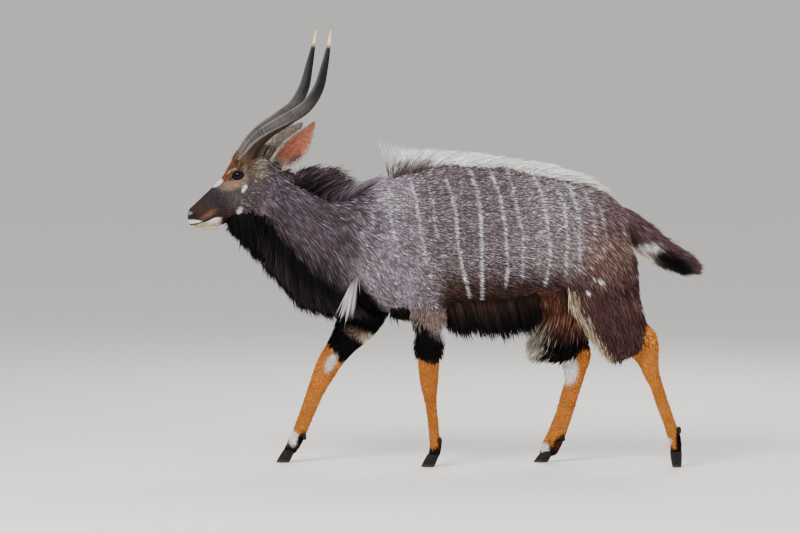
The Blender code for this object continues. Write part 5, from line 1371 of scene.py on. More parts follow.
# %% The short coat as pieces of the body
x, y, z = coat["root"].T
head_part = in_head(coat["root"])
upper_foreleg = (z < 0.57) & ((y > 0) & (x < -0.18) | (y < 0) & (x > -0.16) & (x < 0.06))
leg_part = ~head_part & ((z < 0.40) | upper_foreleg)
neck_part = ~head_part & ~leg_part & (x < -0.30)
tail_part = ~head_part & ~leg_part & (x > 0.715) & (z > 0.70)
trunk_part = ~(head_part | leg_part | neck_part | tail_part)
COAT_PIECES = {
    "coat_head": (head_part, "coat"),
    "coat_neck": (neck_part, "long_hair"),
    "coat_shoulders": (trunk_part & (x < 0.02), "coat"),
    "coat_barrel": (trunk_part & (x >= 0.02) & (x < 0.34), "coat"),
    "coat_haunches": (trunk_part & (x >= 0.34), "coat"),
    "coat_forelegs": (leg_part & (x < 0.2), "leg_coat"),
    "coat_hindlegs": (leg_part & (x >= 0.2), "leg_coat"),
    "coat_tail": (tail_part, "long_hair"),
}


def marked(points, owner):
    """The colour of the coat for tufts. Each is nearly one colour, and colours mix where markings meet."""
    tufts = points.reshape(owner[-1] + 1, -1, 3)
    middle = tufts[:, -4:].mean(1, keepdims=True)
    stray = draw.normal(0, 1, middle.shape) * [0.0022, 0, 0.0022]
    stray *= np.where(in_head(middle[:, 0]), 0.45, 1.0)[:, None, None]
    return coat_colours((middle + stray + (tufts - middle) * TUFT_BLEND).reshape(-1, 3))


for name, (keep, slot) in COAT_PIECES.items():
    add_piece(name, tuft_mesh(name, some(coat, keep), marked))

# %% [markdown]
# ## The long hair
#
# Crest, nape, throat fringe, belly fringe and thigh skirts each fill an outline from the drawing: an
# edge by the body and an edge at the hair tips. Each hair starts on the skin near the first edge and
# ends near the second, so the outline of the animal is true to the tips. Some hairs stop short, which
# fills the inside and keeps the edge ragged.

# %% Hair that fills an outline
skin_tree = BVHTree.FromPolygons([v.co for v in skin.data.vertices],
                                 [tuple(p.vertices) for p in skin.data.polygons])
skin_uv = skin_surface["uv"].mean(1)
face_of = np.empty(len(skin.data.loop_triangles), np.int32)
skin.data.loop_triangles.foreach_get("polygon_index", face_of)
uv_of_face = np.zeros((len(skin.data.polygons), 2))
uv_of_face[face_of] = skin_uv


def on_skin(roots, up=None):
    """Each root moved to the nearest skin, or to the skin below it where up is given."""
    places, normals, faces = np.empty_like(roots), np.empty_like(roots), np.empty(len(roots), np.int64)
    for i, root in enumerate(roots):
        hit = None
        if up is not None:
            way = Vector(up[i])
            hit, normal, face, _ = skin_tree.ray_cast(Vector(root) + way * 0.12, -way, 0.26)
        if hit is None:
            hit, normal, face, _ = skin_tree.find_nearest(Vector(root))
        places[i], normals[i], faces[i] = hit, normal, face
    return places, normals, uv_of_face[faces]


def rows_at(form, shares):
    """Rows of an outline at shares of its length."""
    sections = curve_through(form, 8)
    places = np.clip(shares, 0, 1) * (len(sections) - 1)
    low = np.minimum(places.astype(int), len(sections) - 2)
    return sections[low] + (sections[low + 1] - sections[low]) * (places - low)[:, None]


def with_head(x):
    """How far the turn of the head carries its middle plane sideways at each x."""
    return np.minimum(x - HEAD_PIVOT.x, 0) * sin(HEAD_TURN)


def tufts_from(root, tip, bow, up, uv, width, spread, shades, **more):
    """Tufts as a table of arrays, each with a width and a shade of its own."""
    count = len(root)
    return {"root": root, "tip": tip, "bow": bow, "up": up, "uv": uv,
            "width": width * draw.uniform(0.7, 1.3, count), "shade": np.exp(draw.normal(0, spread, count)),
            "root_shade": shades[0], "tip_shade": shades[1], **more}


def outline_hair(form, count, draw, half_root, half_tip, width, lag=0.0, span=(0.0, 1.0),
                 reach=(0.70, 1.04), erect=False, lift=0.10, sway=0.006, y_middle=0.0, y_tip=0.0,
                 drop=0.0, ragged=0.0, taper=0.0):
    """Hairs from the inner edge of an outline to its outer edge."""
    share = span[0] + (span[1] - span[0]) * (np.arange(count) + draw.uniform(0, 1, count)) / count
    across = draw.uniform(-1, 1, count) * (1 - taper * ramp(0.78, 1.0, share))
    inner, outer = rows_at(form, share - lag), rows_at(form, share)
    inner[:, 1] -= drop * (1 - ramp(0.05, 0.35, share))
    roots = np.stack([inner[:, 0], with_head(inner[:, 0]) + y_middle + across * half_root, inner[:, 1]], 1)
    tips = np.stack([outer[:, 2], with_head(outer[:, 2]) + y_middle + y_tip + across * half_tip,
                     outer[:, 3]], 1)
    up = unit(np.stack([inner[:, 2] - inner[:, 0], np.zeros(count), inner[:, 3] - inner[:, 1]], 1))
    places, normals, uv = on_skin(roots, up if erect else None)
    length = draw.triangular(reach[0], reach[1] - 0.07, reach[1], count)
    length *= 1 + ragged * (np.sin(share * 47) + np.sin(share * 29 + 1.3) + np.sin(share * 83 + 0.7)) / 3
    tips = places + (tips - places) * length[:, None] + draw.normal(0, sway, (count, 3))
    stretch = np.linalg.norm(tips - places, axis=1)
    outward = unit(normals - 0.2 * unit(tips - places))
    return tufts_from(places - normals * 0.003, tips, outward * (stretch * lift)[:, None],
                      normals + draw.normal(0, 0.25, (count, 3)), uv, width, 0.26, (0.80, 1.12), share=share)


def hang(name, tufts, size, strength, shading, tone):
    """Draw hair together in locks, and add it as a piece."""
    clumped(tufts, size, strength, draw, shading)
    add_piece(name, tuft_mesh(name, tufts, tone, 3))


def along_tufts(owner):
    """How far along its own tuft each point lies: 0 at the root, 1 at the tip."""
    return np.tile(np.concatenate([np.repeat(RING_PLACES[3], 3), [1.0]]), owner[-1] + 1)


def toned(root_colour, tip_colour, change=0.5, soft=0.25):
    """A colour for each point of a tuft from its place along the tuft."""
    def colour_of(points, owner):
        weight = ramp(change - soft, change + soft, along_tufts(owner))[:, None]
        return COAT[root_colour] + (COAT[tip_colour] - COAT[root_colour]) * weight
    return colour_of


print("long hair tools are ready")

# %% The white crest along the back
# The front hairs stand apart, so they are few, thin and drawn together in locks.
crest_front = outline_hair(CREST, 110, draw, 0.010, 0.018, 0.0021, span=(0.0, 0.22), erect=True,
                           reach=(0.45, 1.36), lift=0.04, sway=0.011)
hang("crest_front", crest_front, 0.013, 0.65, 0.25, toned("under_crest", "stripe", 0.35, 0.3))
crest_back = outline_hair(CREST, 4400, draw, 0.034, 0.014, 0.0034, lag=0.10, span=(0.10, 1.0),
                          erect=True, reach=(0.35, 1.18), lift=0.10, sway=0.007, ragged=0.05, taper=0.8)
crest_back["root_shade"], crest_back["tip_shade"] = 0.95, 1.15
crest_back = some(crest_back, draw.uniform(0, 1, 4400) < ramp(0.12, 0.33, crest_back["share"]) + 0.015)
hang("crest_back", crest_back, 0.022, 0.5, 0.10, toned("stripe", "white", 0.12, 0.12))

# %% Darker hair that lies under the front of the crest on both sides
for name, side in (("crest_edge_left", -1), ("crest_edge_right", 1)):
    edge = outline_hair(CREST, 300, draw, 0.012, 0.012, 0.0030, lag=0.10, span=(0.13, 0.36), erect=True,
                        reach=(0.15, 0.78), lift=0.12, sway=0.010, y_middle=side * 0.034, ragged=0.2)
    hang(name, edge, 0.014, 0.5, 0.2, toned("under_crest", "stripe", 0.80, 0.3))

# %% The dark mane on the nape, with brown strands in it
NAPE_HAIRS = 2000
nape = outline_hair(NAPE, NAPE_HAIRS, draw, 0.036, 0.034, 0.0025, lag=0.45, erect=True, reach=(0.15, 1.06),
                    lift=0.20, sway=0.013)
clumped(nape, 0.016, 0.35, draw, 0.2)
brown_strand = draw.uniform(0, 1, NAPE_HAIRS) < 0.20


def nape_tone(points, owner):
    dark = toned("black", "neck_dark", 0.55, 0.45)(points, owner)
    brown = toned("neck_dark", "nape_brown", 0.4, 0.4)(points, owner)
    return np.where(brown_strand[owner][:, None], brown, dark)


add_piece("nape_mane", tuft_mesh("nape_mane", nape, nape_tone, 3))
# Shorter hair carries the mane down to the withers.
WITHERS = [
    (-0.470, 0.985, -0.435, 1.078), (-0.420, 1.000, -0.375, 1.072), (-0.370, 1.020, -0.325, 1.074),
    (-0.310, 1.045, -0.268, 1.079), (-0.250, 1.070, -0.218, 1.094),
]
withers = outline_hair(WITHERS, 1100, draw, 0.038, 0.030, 0.0026, erect=True, reach=(0.30, 1.10),
                       lift=0.15, sway=0.007)
hang("withers_hair", withers, 0.016, 0.35, 0.2, toned("neck_dark", "shoulder", 0.6, 0.4))

# %% Fluff between horns and ears, and the tuft of the chin
POLL = [
    (-0.722, 1.160, -0.718, 1.196), (-0.700, 1.162, -0.690, 1.214), (-0.672, 1.162, -0.652, 1.220),
    (-0.645, 1.150, -0.618, 1.206),
]
poll = outline_hair(POLL, 620, draw, 0.040, 0.036, 0.0022, lag=0.12, erect=True, reach=(0.45, 1.05),
                    lift=0.12, sway=0.004)
hang("poll_fluff", poll, 0.012, 0.5, 0.12, toned("temple", "ear_base", 0.3, 0.3))
CHIN = [
    (-0.932, 0.914, -0.922, 0.898), (-0.905, 0.912, -0.893, 0.893), (-0.878, 0.914, -0.862, 0.893),
    (-0.852, 0.920, -0.832, 0.900),
]
chin = outline_hair(CHIN, 620, draw, 0.018, 0.014, 0.0016, lag=0.10, reach=(0.45, 1.05), lift=0.06,
                    sway=0.0015, span=(0.0, 0.84))
hang("chin_tuft", chin, 0.008, 0.5, 0.12, toned("cream", "cream"))

# %% [markdown]
# ### Throat and belly fringes
#
# The black fringe hangs from the jaw over the chest and goes on under the belly. It is thickest in its
# middle plane, so hairs are rooted on both sides of the throat and their tips draw together below.

# %% The black fringe of throat and chest
fringe = outline_hair(FRINGE, 5600, draw, 0.062, 0.034, 0.0042, lag=0.10, reach=(0.40, 1.09), lift=0.07,
                      sway=0.011, drop=0.042, ragged=0.06)
hang("throat_fringe", fringe, 0.026, 0.70, 0.25, toned("black", "black"))
side_neck = {"left": -1, "right": 1}
for name, side in side_neck.items():
    low = outline_hair(FRINGE, 1500, draw, 0.016, 0.012, 0.0044, lag=0.10, span=(0.30, 0.98), lift=0.10,
                       reach=(0.40, 0.95), sway=0.009, y_middle=side * 0.085, drop=0.045)
    low = some(low, draw.uniform(0, 1, 1500) < ramp(0.30, 0.52, low["share"]))
    hang("neck_fringe_" + name, low, 0.026, 0.65, 0.25, toned("black", "neck_dark", 1.0, 0.6))

# %% White hair that hangs from each side of the chest
CHEST_WHITE = [
    (-0.352, 0.690, -0.412, 0.552), (-0.342, 0.712, -0.385, 0.540), (-0.332, 0.730, -0.357, 0.538),
    (-0.322, 0.742, -0.333, 0.556),
]
for name, side in side_neck.items():
    wisps = outline_hair(CHEST_WHITE, 46, draw, 0.005, 0.016, 0.0017, reach=(0.45, 1.08), lift=0.05,
                         sway=0.010, y_middle=side * 0.118, y_tip=-side * 0.006)
    hang("chest_white_" + name, wisps, 0.012, 0.35, 0.3, toned("neck", "stripe", 0.25, 0.25))

# %% The fringe under the belly
belly = outline_hair(BELLY_FRINGE, 4200, draw, 0.064, 0.026, 0.0038, lag=0.06, span=(0.0, 0.975),
                     reach=(0.28, 1.22), lift=0.05, sway=0.015, ragged=0.14)
hang("belly_fringe", belly, 0.032, 0.72, 0.3, toned("low_flank", "black", 0.30, 0.28))

# %% [markdown]
# ### Thigh skirts and tail brush
#
# Long hair hangs over the outside, the front and the back of each thigh down to the hock. Here the
# outline runs across the leg, so a hair's share of the way across gives its place from front to back.

# %% Shaggy hair of the thighs
def skirt_hair(form, side, count, draw, highest=0.02):
    """Hair that hangs over the outside of a thigh, and thinly over its inside."""
    height = draw.uniform(highest, 0.76, count)
    fall = draw.uniform(0.16, 0.34, count)
    share = draw.uniform(0.01, 0.99, count)
    above = rows_at(form, height)
    below = rows_at(form, np.minimum(height + fall, draw.uniform(0.80, 1.0, count)))
    bulge = np.sin(pi * (0.08 + 0.84 * share))
    outside = np.where(draw.uniform(0, 1, count) < 0.80, 1, -1)
    front, back = above[:, :2], above[:, 2:4]
    place = front + (back - front) * (0.03 + 0.94 * share)[:, None]
    roots = np.stack([place[:, 0], side * (0.092 + outside * 0.060 * bulge), place[:, 1]], 1)
    places, normals, uv = on_skin(roots)
    end = below[:, :2] + (below[:, 2:4] - below[:, :2]) * share[:, None]
    proud = 0.008 + 0.020 * height
    tips = np.stack([end[:, 0], side * (0.092 + outside * (0.040 * bulge + proud)), end[:, 1]], 1)
    tips += draw.normal(0, 0.010, (count, 3))
    stretch = np.linalg.norm(tips - places, axis=1)
    outward = unit(normals * [1, 1, 0.3])
    return tufts_from(places - normals * 0.003, tips, outward * (0.07 * stretch)[:, None],
                      normals + draw.normal(0, 0.25, (count, 3)), uv, 0.0044, 0.36, (0.75, 1.25),
                      share=share, height=height, inner=outside * side < 0)


def skirt_tone(front_colour, other, tufts, edge, draw):
    """Pale hair along the front edge of a thigh, dark hair over the rest, mixed where they meet."""
    mixed = tufts["share"] + draw.normal(0, 0.45 * edge, len(tufts["share"]))
    pale = 1 - ramp(edge * 0.75, edge * 1.25, mixed)
    groin = (1 - ramp(0.22, 0.42, tufts["height"] + draw.normal(0, 0.04, len(mixed)))) * (other == "black")
    groin *= tufts["inner"]
    ground = np.where((tufts["inner"] & (other == "black"))[:, None], COAT["black"], COAT["thigh"])

    def colour_of(points, owner):
        along = along_tufts(owner)
        weight = pale[owner] * (0.45 + 0.55 * ramp(0.0, 0.6, along))
        colours = ground[owner] + (COAT[front_colour] - ground[owner]) * weight[:, None]
        rusty = groin[owner] * (1 - ramp(0.3, 0.9, along))
        return colours + (COAT["groin"] - colours) * rusty[:, None]
    return colour_of


for name, form, side, pale, other, edge, highest in (
        ("left", SKIRT_TRAILING, -1, "whisker", "thigh", 0.15, 0.02),
        ("right", SKIRT_FORWARD, 1, "grey_tips", "black", 0.30, 0.14)):
    skirt = skirt_hair(form, side, 4600, draw, highest)
    clumped(skirt, 0.022, 0.4, draw)
    add_piece("thigh_skirt_" + name,
              tuft_mesh("thigh_skirt_" + name, skirt, skirt_tone(pale, other, skirt, edge, draw), 3))

# %% [markdown]
# ### Hair of the knees, and collars of the horns
#
# Two joins need hair of their own. Hair above the knee hangs over the black cuff of the leg, and a
# short collar of hair stands up round each horn where it leaves the skull. Both take the colour that
# the coat has at their roots.

# %% Hair above the knees, and round the base of each horn
def rooted_tone(tufts):
    """Every tuft has the colour that the coat has at its root."""
    colours = coat_colours(tufts["root"])
    return lambda points, owner: colours[owner]


def knee_hair(x, side, low, high, count, draw):
    """Hair that hangs round a foreleg above its knee and stands out most behind it."""
    turn = draw.uniform(0, tau, count)
    ring = np.stack([x + 0.07 * np.cos(turn), side * 0.10 + 0.07 * np.sin(turn),
                     draw.uniform(low, high, count)], 1)
    places, normals, uv = on_skin(ring)
    level = unit(normals * [1, 1, 0])
    stand = 0.004 + 0.009 * np.cos(turn) ** 2 * np.where(np.cos(turn) > 0, 1.0, 0.5)
    length = 0.030 * draw.uniform(0.7, 1.25, count)
    tips = places + level * (stand * draw.uniform(0.7, 1.2, count))[:, None]
    tips -= np.array([0, 0, 1.0]) * length[:, None]
    return tufts_from(places - normals * 0.002, tips + draw.normal(0, 0.0015, (count, 3)), level * 0.004,
                      normals, uv, 0.0030, 0.2, (0.85, 1.1))


knee = knee_hair(-0.058, -1, 0.425, 0.590, 1300, draw)
hang("knee_hair_left", knee, 0.009, 0.25, 0.08, rooted_tone(knee))


def horn_collar(count, draw):
    """Short hair round the base of each horn that stands up against it."""
    start = np.array(HORN_PATH[0])
    ahead = unit(np.array(HORN_PATH[1]) - start)
    across = unit(np.cross(ahead, [0.0, 1.0, 0.0]))
    other = np.cross(ahead, across)
    turn = draw.uniform(0, tau, count)
    out = across * np.cos(turn)[:, None] + other * np.sin(turn)[:, None]
    near = start + out * HORN_RADII[0] * 1.05 + ahead * draw.uniform(-0.030, 0.004, count)[:, None]
    tips = near + ahead * draw.uniform(0.016, 0.034, count)[:, None] + draw.normal(0, 0.002, (count, 3))
    mirror = np.where(np.arange(count) % 2 == 0, 1, -1)[:, None] * [0, 1, 0] + [1, 0, 1]
    near, tips = turned(near * mirror), turned(tips * mirror)
    places, normals, uv = on_skin(near)
    return tufts_from(places - normals * 0.001, tips, normals * 0.002, normals, uv, 0.0021, 0.2,
                      (0.85, 1.1))


collar = horn_collar(900, draw)
add_piece("horn_collar", tuft_mesh("horn_collar", collar, rooted_tone(collar), 3))

# %% The brush of the tail
BRUSH_HAIRS = 4200
BRUSH_LENGTH = 0.115


def brush_hair(count, draw):
    """Hair that grows all round the tail and runs along it to a point."""
    core = curve_through(TAIL, 8)
    share = 0.16 + 0.84 * draw.uniform(0, 1, count) ** 0.9
    places = share * (len(core) - 1)
    low = np.minimum(places.astype(int), len(core) - 2)
    row = core[low] + (core[low + 1] - core[low]) * (places - low)[:, None]
    ahead = core[np.minimum(low + 4, len(core) - 1)] - core[np.maximum(low - 4, 0)]
    along = unit(np.stack([ahead[:, 0] + ahead[:, 2], np.zeros(count), ahead[:, 1] + ahead[:, 3]], 1))
    middle = np.stack([(row[:, 0] + row[:, 2]) / 2, np.zeros(count), (row[:, 1] + row[:, 3]) / 2], 1)
    turn = draw.uniform(0, tau, count)
    upward = np.cross(np.array([0.0, 1.0, 0.0]), along)
    out = upward * np.sin(turn)[:, None] + np.array([0.0, 1.0, 0.0]) * np.cos(turn)[:, None]
    roots, normals, uv = on_skin(middle + out * 0.03)
    spread = 0.014 + 0.040 * np.sin(pi * np.clip(share, 0, 0.92) / 0.92) ** 0.8
    length = BRUSH_LENGTH * draw.triangular(0.4, 0.8, 1.0, count) * (1 - 0.45 * ramp(0.70, 1.0, share))
    tips = middle + out * spread[:, None] + along * length[:, None]
    tips += draw.normal(0, 0.007, (count, 3))
    return tufts_from(roots - normals * 0.003, tips, out * 0.008, out, uv, 0.0042, 0.36, (0.8, 1.2))


def brush_tone(points, owner):
    colours = np.tile(COAT["tail"], (len(points), 1))
    tail_markings(colours, points[:, 0], points[:, 2], points)
    return colours


hang("tail_brush", brush_hair(BRUSH_HAIRS, draw), 0.020, 0.45, 0.12, brush_tone)

# %% [markdown]
# ## The skin joins the frame
#
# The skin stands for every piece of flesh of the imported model.

# %% Skin in place of the flesh
add_piece("skin", skin.data.copy(),
          ("head", "neck", "forequarters", "barrel", "hindquarters", "tail", "foreleg_left",
           "foreleg_right", "hindleg_left", "hindleg_right", "thigh_left", "thigh_right"))
discard([skin])

# %% [markdown]
# ## Horns
#
# A nyala's horns make a loose lyre of one and a half turns. Each has two faces. The front face is slate
# with low rings across its lower half, and the rear face is smooth and brown. A keel winds between
# them, so the brown face is broad at the base and turns out of sight above. The tip is worn to ivory. A
# tube along the horn's centre line takes all of this as small changes of its radius and colour.

# %% Horn meshes
HORN_SIDES = 40
HORN_STEPS = 22
RING_SPACING = 0.0135
RING_HEIGHT = 0.0022
IVORY_LENGTH = 0.062
HORN_COLOURS = {
    "groove": linear("#141213"), "ring": linear("#7d7673"), "keel": linear("#7c7169"),
    # The lighter brown is a painted highlight near the base of the rear face.
    "brown": linear("#2c1e15"), "brown_painted_highlight": linear("#46321f"), "upper": linear("#101012"),
    # The pale grey for the upper horn's front edge is a painted sheen.
    "upper_painted_sheen": linear("#45454a"), "ivory": linear("#e9cfa0"), "worn": linear("#b08a5c"),
}


def mixed(first, second, share):
    return first + (second - first) * float(share)


def horn_colour(facing, share, wave, from_tip):
    """Colour of a horn, with painted highlights: facing is 1 on its front edge and -1 on its rear edge."""
    c = HORN_COLOURS
    ringed = 1 - ramp(0.46, 0.66, share)
    # Painted highlight: rings and grooves are lighter along the front edge, where the light falls.
    painted_edge_highlight = 0.40 + 0.60 * ramp(0.78, 1.0, facing)
    contrast = (0.66 - 0.26 * ramp(0.14, 0.30, share)) * (0.65 + 0.35 * sin(31 * share + 2 * facing))
    front = mixed(c["groove"], c["ring"], (0.76 - contrast * (1 - wave)) * painted_edge_highlight)
    # Painted sheen: the dark upper horn turns blue-grey towards its front edge.
    upper = mixed(c["upper"], c["upper_painted_sheen"], ramp(0.45, 1.0, facing))
    colour = mixed(upper, front, ringed)
    keel = 0.62 - 2.9 * share
    # Painted highlight: the brown rear face is lighter near its base.
    brown = mixed(c["brown_painted_highlight"], c["brown"], ramp(0.0, 0.12, share))
    behind_keel = 1 - ramp(keel - 0.10, keel + 0.06, facing)
    colour = mixed(colour, brown, behind_keel * (1 - ramp(0.34, 0.50, share)))
    edge = np.exp(-((facing - keel - 0.08) / 0.10) ** 2) * (1 - ramp(0.30, 0.5, share))
    colour = mixed(colour, c["keel"], 0.6 * edge)
    colour = mixed(colour, c["worn"], 1 - ramp(IVORY_LENGTH - 0.006, IVORY_LENGTH + 0.010, from_tip))
    return mixed(colour, c["ivory"], 1 - ramp(IVORY_LENGTH - 0.014, IVORY_LENGTH - 0.002, from_tip))


def horn_mesh(name, side):
    path = curve_through(HORN_PATH, HORN_STEPS)
    path[:, 1] *= side
    radii = curve_through([(r,) for r in HORN_RADII], HORN_STEPS)[:, 0]
    gaps = np.linalg.norm(np.diff(path, axis=0), axis=1)
    travelled = np.concatenate([[0], np.cumsum(gaps)])
    rings, colours = [], []
    for i, place in enumerate(path):
        share = travelled[i] / travelled[-1]
        ahead = Vector(path[min(i + 1, len(path) - 1)] - path[max(i - 1, 0)]).normalized()
        across = ahead.cross(Vector((0, 1, 0))).normalized()
        other = ahead.cross(across).normalized()
        keel = 0.62 - 2.9 * share
        wobble = 0.0016 * sin(travelled[i] * 610) + 0.0012 * sin(travelled[i] * 233)
        wave = 0.5 + 0.5 * cos(tau * (travelled[i] + wobble) / RING_SPACING)
        ringed = max(0.0, 1 - share / 0.62) ** 0.5
        ring = []
        for k in range(HORN_SIDES):
            turn = tau * k / HORN_SIDES
            way = across * cos(turn) + other * sin(turn)
            facing = cos(turn)
            keeled = 0.085 * np.exp(-((facing - keel) / 0.22) ** 2) * max(0, 1 - share * 1.3)
            front = float(ramp(-0.25, 0.55, facing - keel * 0.5))
            ridge = RING_HEIGHT * (wave ** 2 - 0.35) * ringed * (0.15 + 0.85 * front)
            fibre = 0.0005 * sin(9 * turn + 3 * sin(5 * share)) * (1 - share)
            ring.append(Vector(place) + way * float(radii[i] * (0.96 + keeled) + ridge + fibre))
            worn = 1 + 0.20 * (1 - share) * sin(9 * turn + 4 * sin(14 * share))
            colours.append(horn_colour(facing, share, wave ** 1.5, travelled[-1] - travelled[i]) * worn)
        rings.append(ring)
    points, faces = skin_rings(rings)
    mesh = mesh_from(name, points, faces)
    store_colours(mesh, np.array(colours + [colours[0], HORN_COLOURS["ivory"]]))
    mesh.transform(HEAD_MATRIX)
    return finish_mesh(mesh, horn)


for name, side in (("horn_left", -1), ("horn_right", 1)):
    add_piece(name + "_ringed", horn_mesh(name, side), (name,))

# %% [markdown]
# ## Ears
#
# An ear is a thin cupped leaf that rolls in at its base. Its inside is bare pink skin with a dark patch
# low down, its rim carries pale hair, and its back is furred. The leaf is built from rows across the
# ear, with an inner and an outer surface a few millimetres apart.

# %% Ear leaves
EARS = {
    "ear_left": ((-0.640, -0.050, 1.130), (-0.507, -0.125, 1.300), (0.25, -1, 0.05)),
    "ear_right": ((-0.668, 0.048, 1.148), (-0.516, 0.126, 1.290), (-0.35, 1, 0.05)),
}
EAR_WIDTH, EAR_THICKNESS, EAR_ROLL, EAR_UNROLL = 0.098, 0.0032, 1.25, 0.75
EAR_ROWS, EAR_COLUMNS = 30, 25
EAR_BACK = linear("#6b5e57")
EAR_DARK = 1                # which edge of the ear carries the dark patch inside


def ear_leaf(name, base, tip, facing):
    """The ear's mesh with its colours, the number of points on one face, and the direction along the ear."""
    base, tip, facing = Vector(base), Vector(tip), Vector(facing)
    along, length = (tip - base).normalized(), (tip - base).length
    inward = (facing - along * facing.dot(along)).normalized()
    across = along.cross(inward).normalized()
    front, back, inside, outside = [], [], [], []
    for i in range(EAR_ROWS):
        share = i / (EAR_ROWS - 1)
        width = EAR_WIDTH / 2 * (0.30 + 0.70 * sin(pi * min(share * 1.05 + 0.10, 1)) ** 0.8)
        width *= 1 - 0.75 * float(ramp(0.90, 1.0, share))
        depth = 0.034 * (1 - share) ** 0.7 + 0.004
        most = EAR_ROLL - EAR_UNROLL * share
        for j in range(EAR_COLUMNS):
            v = 2 * j / (EAR_COLUMNS - 1) - 1
            roll = v * most
            point = base + along * length * share + across * width * sin(roll) / sin(most)
            point -= inward * depth * (cos(roll) - cos(most)) / (1 - cos(most))
            point += across * 0.010 * sin(pi * share)
            rim = float(ramp(0.80, 0.97, abs(v)))
            front.append(point)
            back.append(point - inward * EAR_THICKNESS * (1 - 0.7 * rim) * (1.6 - share))
            pink = mixed(linear("#7d3f2e"), linear("#a8644c"), share)
            patch = (1 - ramp(0.30, 0.52, share)) * ramp(0.20, 0.65, v * EAR_DARK)
            shade = mixed(pink, linear("#3f2228"), patch)
            shade = mixed(shade, linear("#7b6557"), 1 - ramp(0.06, 0.22, share))
            inside.append(mixed(shade, linear("#b39d8f"), rim))
            outside.append(mixed(EAR_BACK, linear("#a29388"), rim * 0.6))
    count = len(front)
    faces = []
    for i in range(EAR_ROWS - 1):
        for j in range(EAR_COLUMNS - 1):
            a = i * EAR_COLUMNS + j
            b, c, d = a + 1, a + EAR_COLUMNS + 1, a + EAR_COLUMNS
            faces += [(a, b, c, d), (count + a, count + d, count + c, count + b)]
    rim = list(range(EAR_COLUMNS)) + [i * EAR_COLUMNS + EAR_COLUMNS - 1 for i in range(1, EAR_ROWS)]
    rim += [(EAR_ROWS - 1) * EAR_COLUMNS + j for j in range(EAR_COLUMNS - 2, -1, -1)]
    rim += [i * EAR_COLUMNS for i in range(EAR_ROWS - 2, 0, -1)]
    for a, b in zip(rim, rim[1:] + rim[:1]):
        faces.append((a, b, count + b, count + a))
    mesh = mesh_from(name, front + back, faces)
    store_colours(mesh, np.array(inside + outside))
    mesh.transform(HEAD_MATRIX)
    return finish_mesh(mesh, ear_skin), count, np.array(HEAD_MATRIX.to_3x3() @ along)


def ear_hair(mesh, count, along, draw):
    """Short fur on the back of the ear and long pale hair along its rim."""
    mesh.uv_layers.new(name="OFBake")
    grid = np.array([(j / (EAR_COLUMNS - 1), i / (EAR_ROWS - 1)) for i in range(EAR_ROWS)
                     for j in range(EAR_COLUMNS)])
    spread = np.vstack([grid * [0.46, 0.98] + [0.01, 0.01], grid * [0.46, 0.98] + [0.52, 0.01]])
    corner = np.empty(len(mesh.loops), np.int32)
    mesh.loops.foreach_get("vertex_index", corner)
    mesh.uv_layers["OFBake"].data.foreach_set("uv", spread[corner].astype(np.float32).ravel())
    surface = triangles_of(mesh)
    on_back = (surface["corners"] >= count).all(1)
    column = (surface["corners"] % count) % EAR_COLUMNS
    row = (surface["corners"] % count) // EAR_COLUMNS
    rim = (np.abs(2 * column / (EAR_COLUMNS - 1) - 1) > 0.82).any(1)
    density = np.where(on_back, 1.0, 0.0) + rim * 2.0
    place, normal, uv, triangle = evenly_rooted(surface, density, 1500, draw)
    edge = rim[triangle]
    way = unit(along - normal * (normal @ along)[:, None] + draw.normal(0, 0.22, (len(place), 3)))
    length = np.where(edge, 0.011, 0.009) * draw.uniform(0.7, 1.2, len(place))
    high = (row.mean(1) / EAR_ROWS)[triangle]
    length *= 1 - 0.65 * ramp(0.80, 1.0, high)
    rise = np.where(edge, 0.003, 0.0022)
    tufts = {"root": place - normal * 0.0008, "tip": place + way * length[:, None] + normal * rise[:, None],
             "bow": normal * 0.0008, "up": normal, "uv": uv,
             "width": np.full(len(place), 0.0019) * draw.uniform(0.8, 1.3, len(place)),
             "shade": np.exp(draw.normal(0, 0.30, len(place))), "root_shade": 0.75, "tip_shade": 1.2}
    tone = np.where(edge[:, None], linear("#ab9d92"), EAR_BACK)
    return tufts, lambda points, owner: tone[owner]


for name, places in EARS.items():
    leaf, count, along = ear_leaf(name, *places)
    tufts, tone = ear_hair(leaf, count, along, draw)
    add_piece(name + "_fur", tuft_mesh(name + "_fur", tufts, tone))
    add_piece(name + "_leaf", leaf, (name,))

# %% [markdown]
# ## Eyes
#
# A nyala's eye is large and nearly black, with a dark brown iris and a level slot for a pupil. It is a
# ball under a wet clear coat, and its colours change with the distance from the way it looks.

# %% Eyeballs
def eye_mesh(name, side):
    centre, forward, upward, outward = eye_frame(side)
    mesh = ball(name, centre, EYE_RADIUS, rings=36, sides=48).data
    points, _ = places_of(mesh)
    off = points - np.array(centre)
    along, high = off @ np.array(forward), off @ np.array(upward)
    iris = 1 - ramp(0.0105, 0.0125, np.hypot(along, high))
    pupil = 1 - ramp(0.85, 1.15, np.hypot(along / 0.0080, high / 0.0045))
    colours = np.tile(linear("#0a0808"), (len(points), 1))
    colours += (linear("#160d08") - colours) * iris[:, None]
    colours += (linear("#050505") - colours) * pupil[:, None]
    store_colours(mesh, colours)
    mesh.transform(HEAD_MATRIX)
    return finish_mesh(mesh, eye_wet)


for name, side in (("eye_left", -1), ("eye_right", 1)):
    mesh = eye_mesh(name + "_ball", side)
    discard([piece for piece in bpy.data.objects if piece.name == name + "_ball"])
    add_piece(name + "_wet", mesh, (name,))

# %% [markdown]
# ## Hooves and dewclaws
#
# Each foot has two claws of dark keratin with a cleft between them, and two small dewclaws behind the
# fetlock. A claw is a loft from the coronet, where it meets the skin, to a flat sole. Its inner side is
# nearly flat, its toe is long, and it flares a little towards the ground.

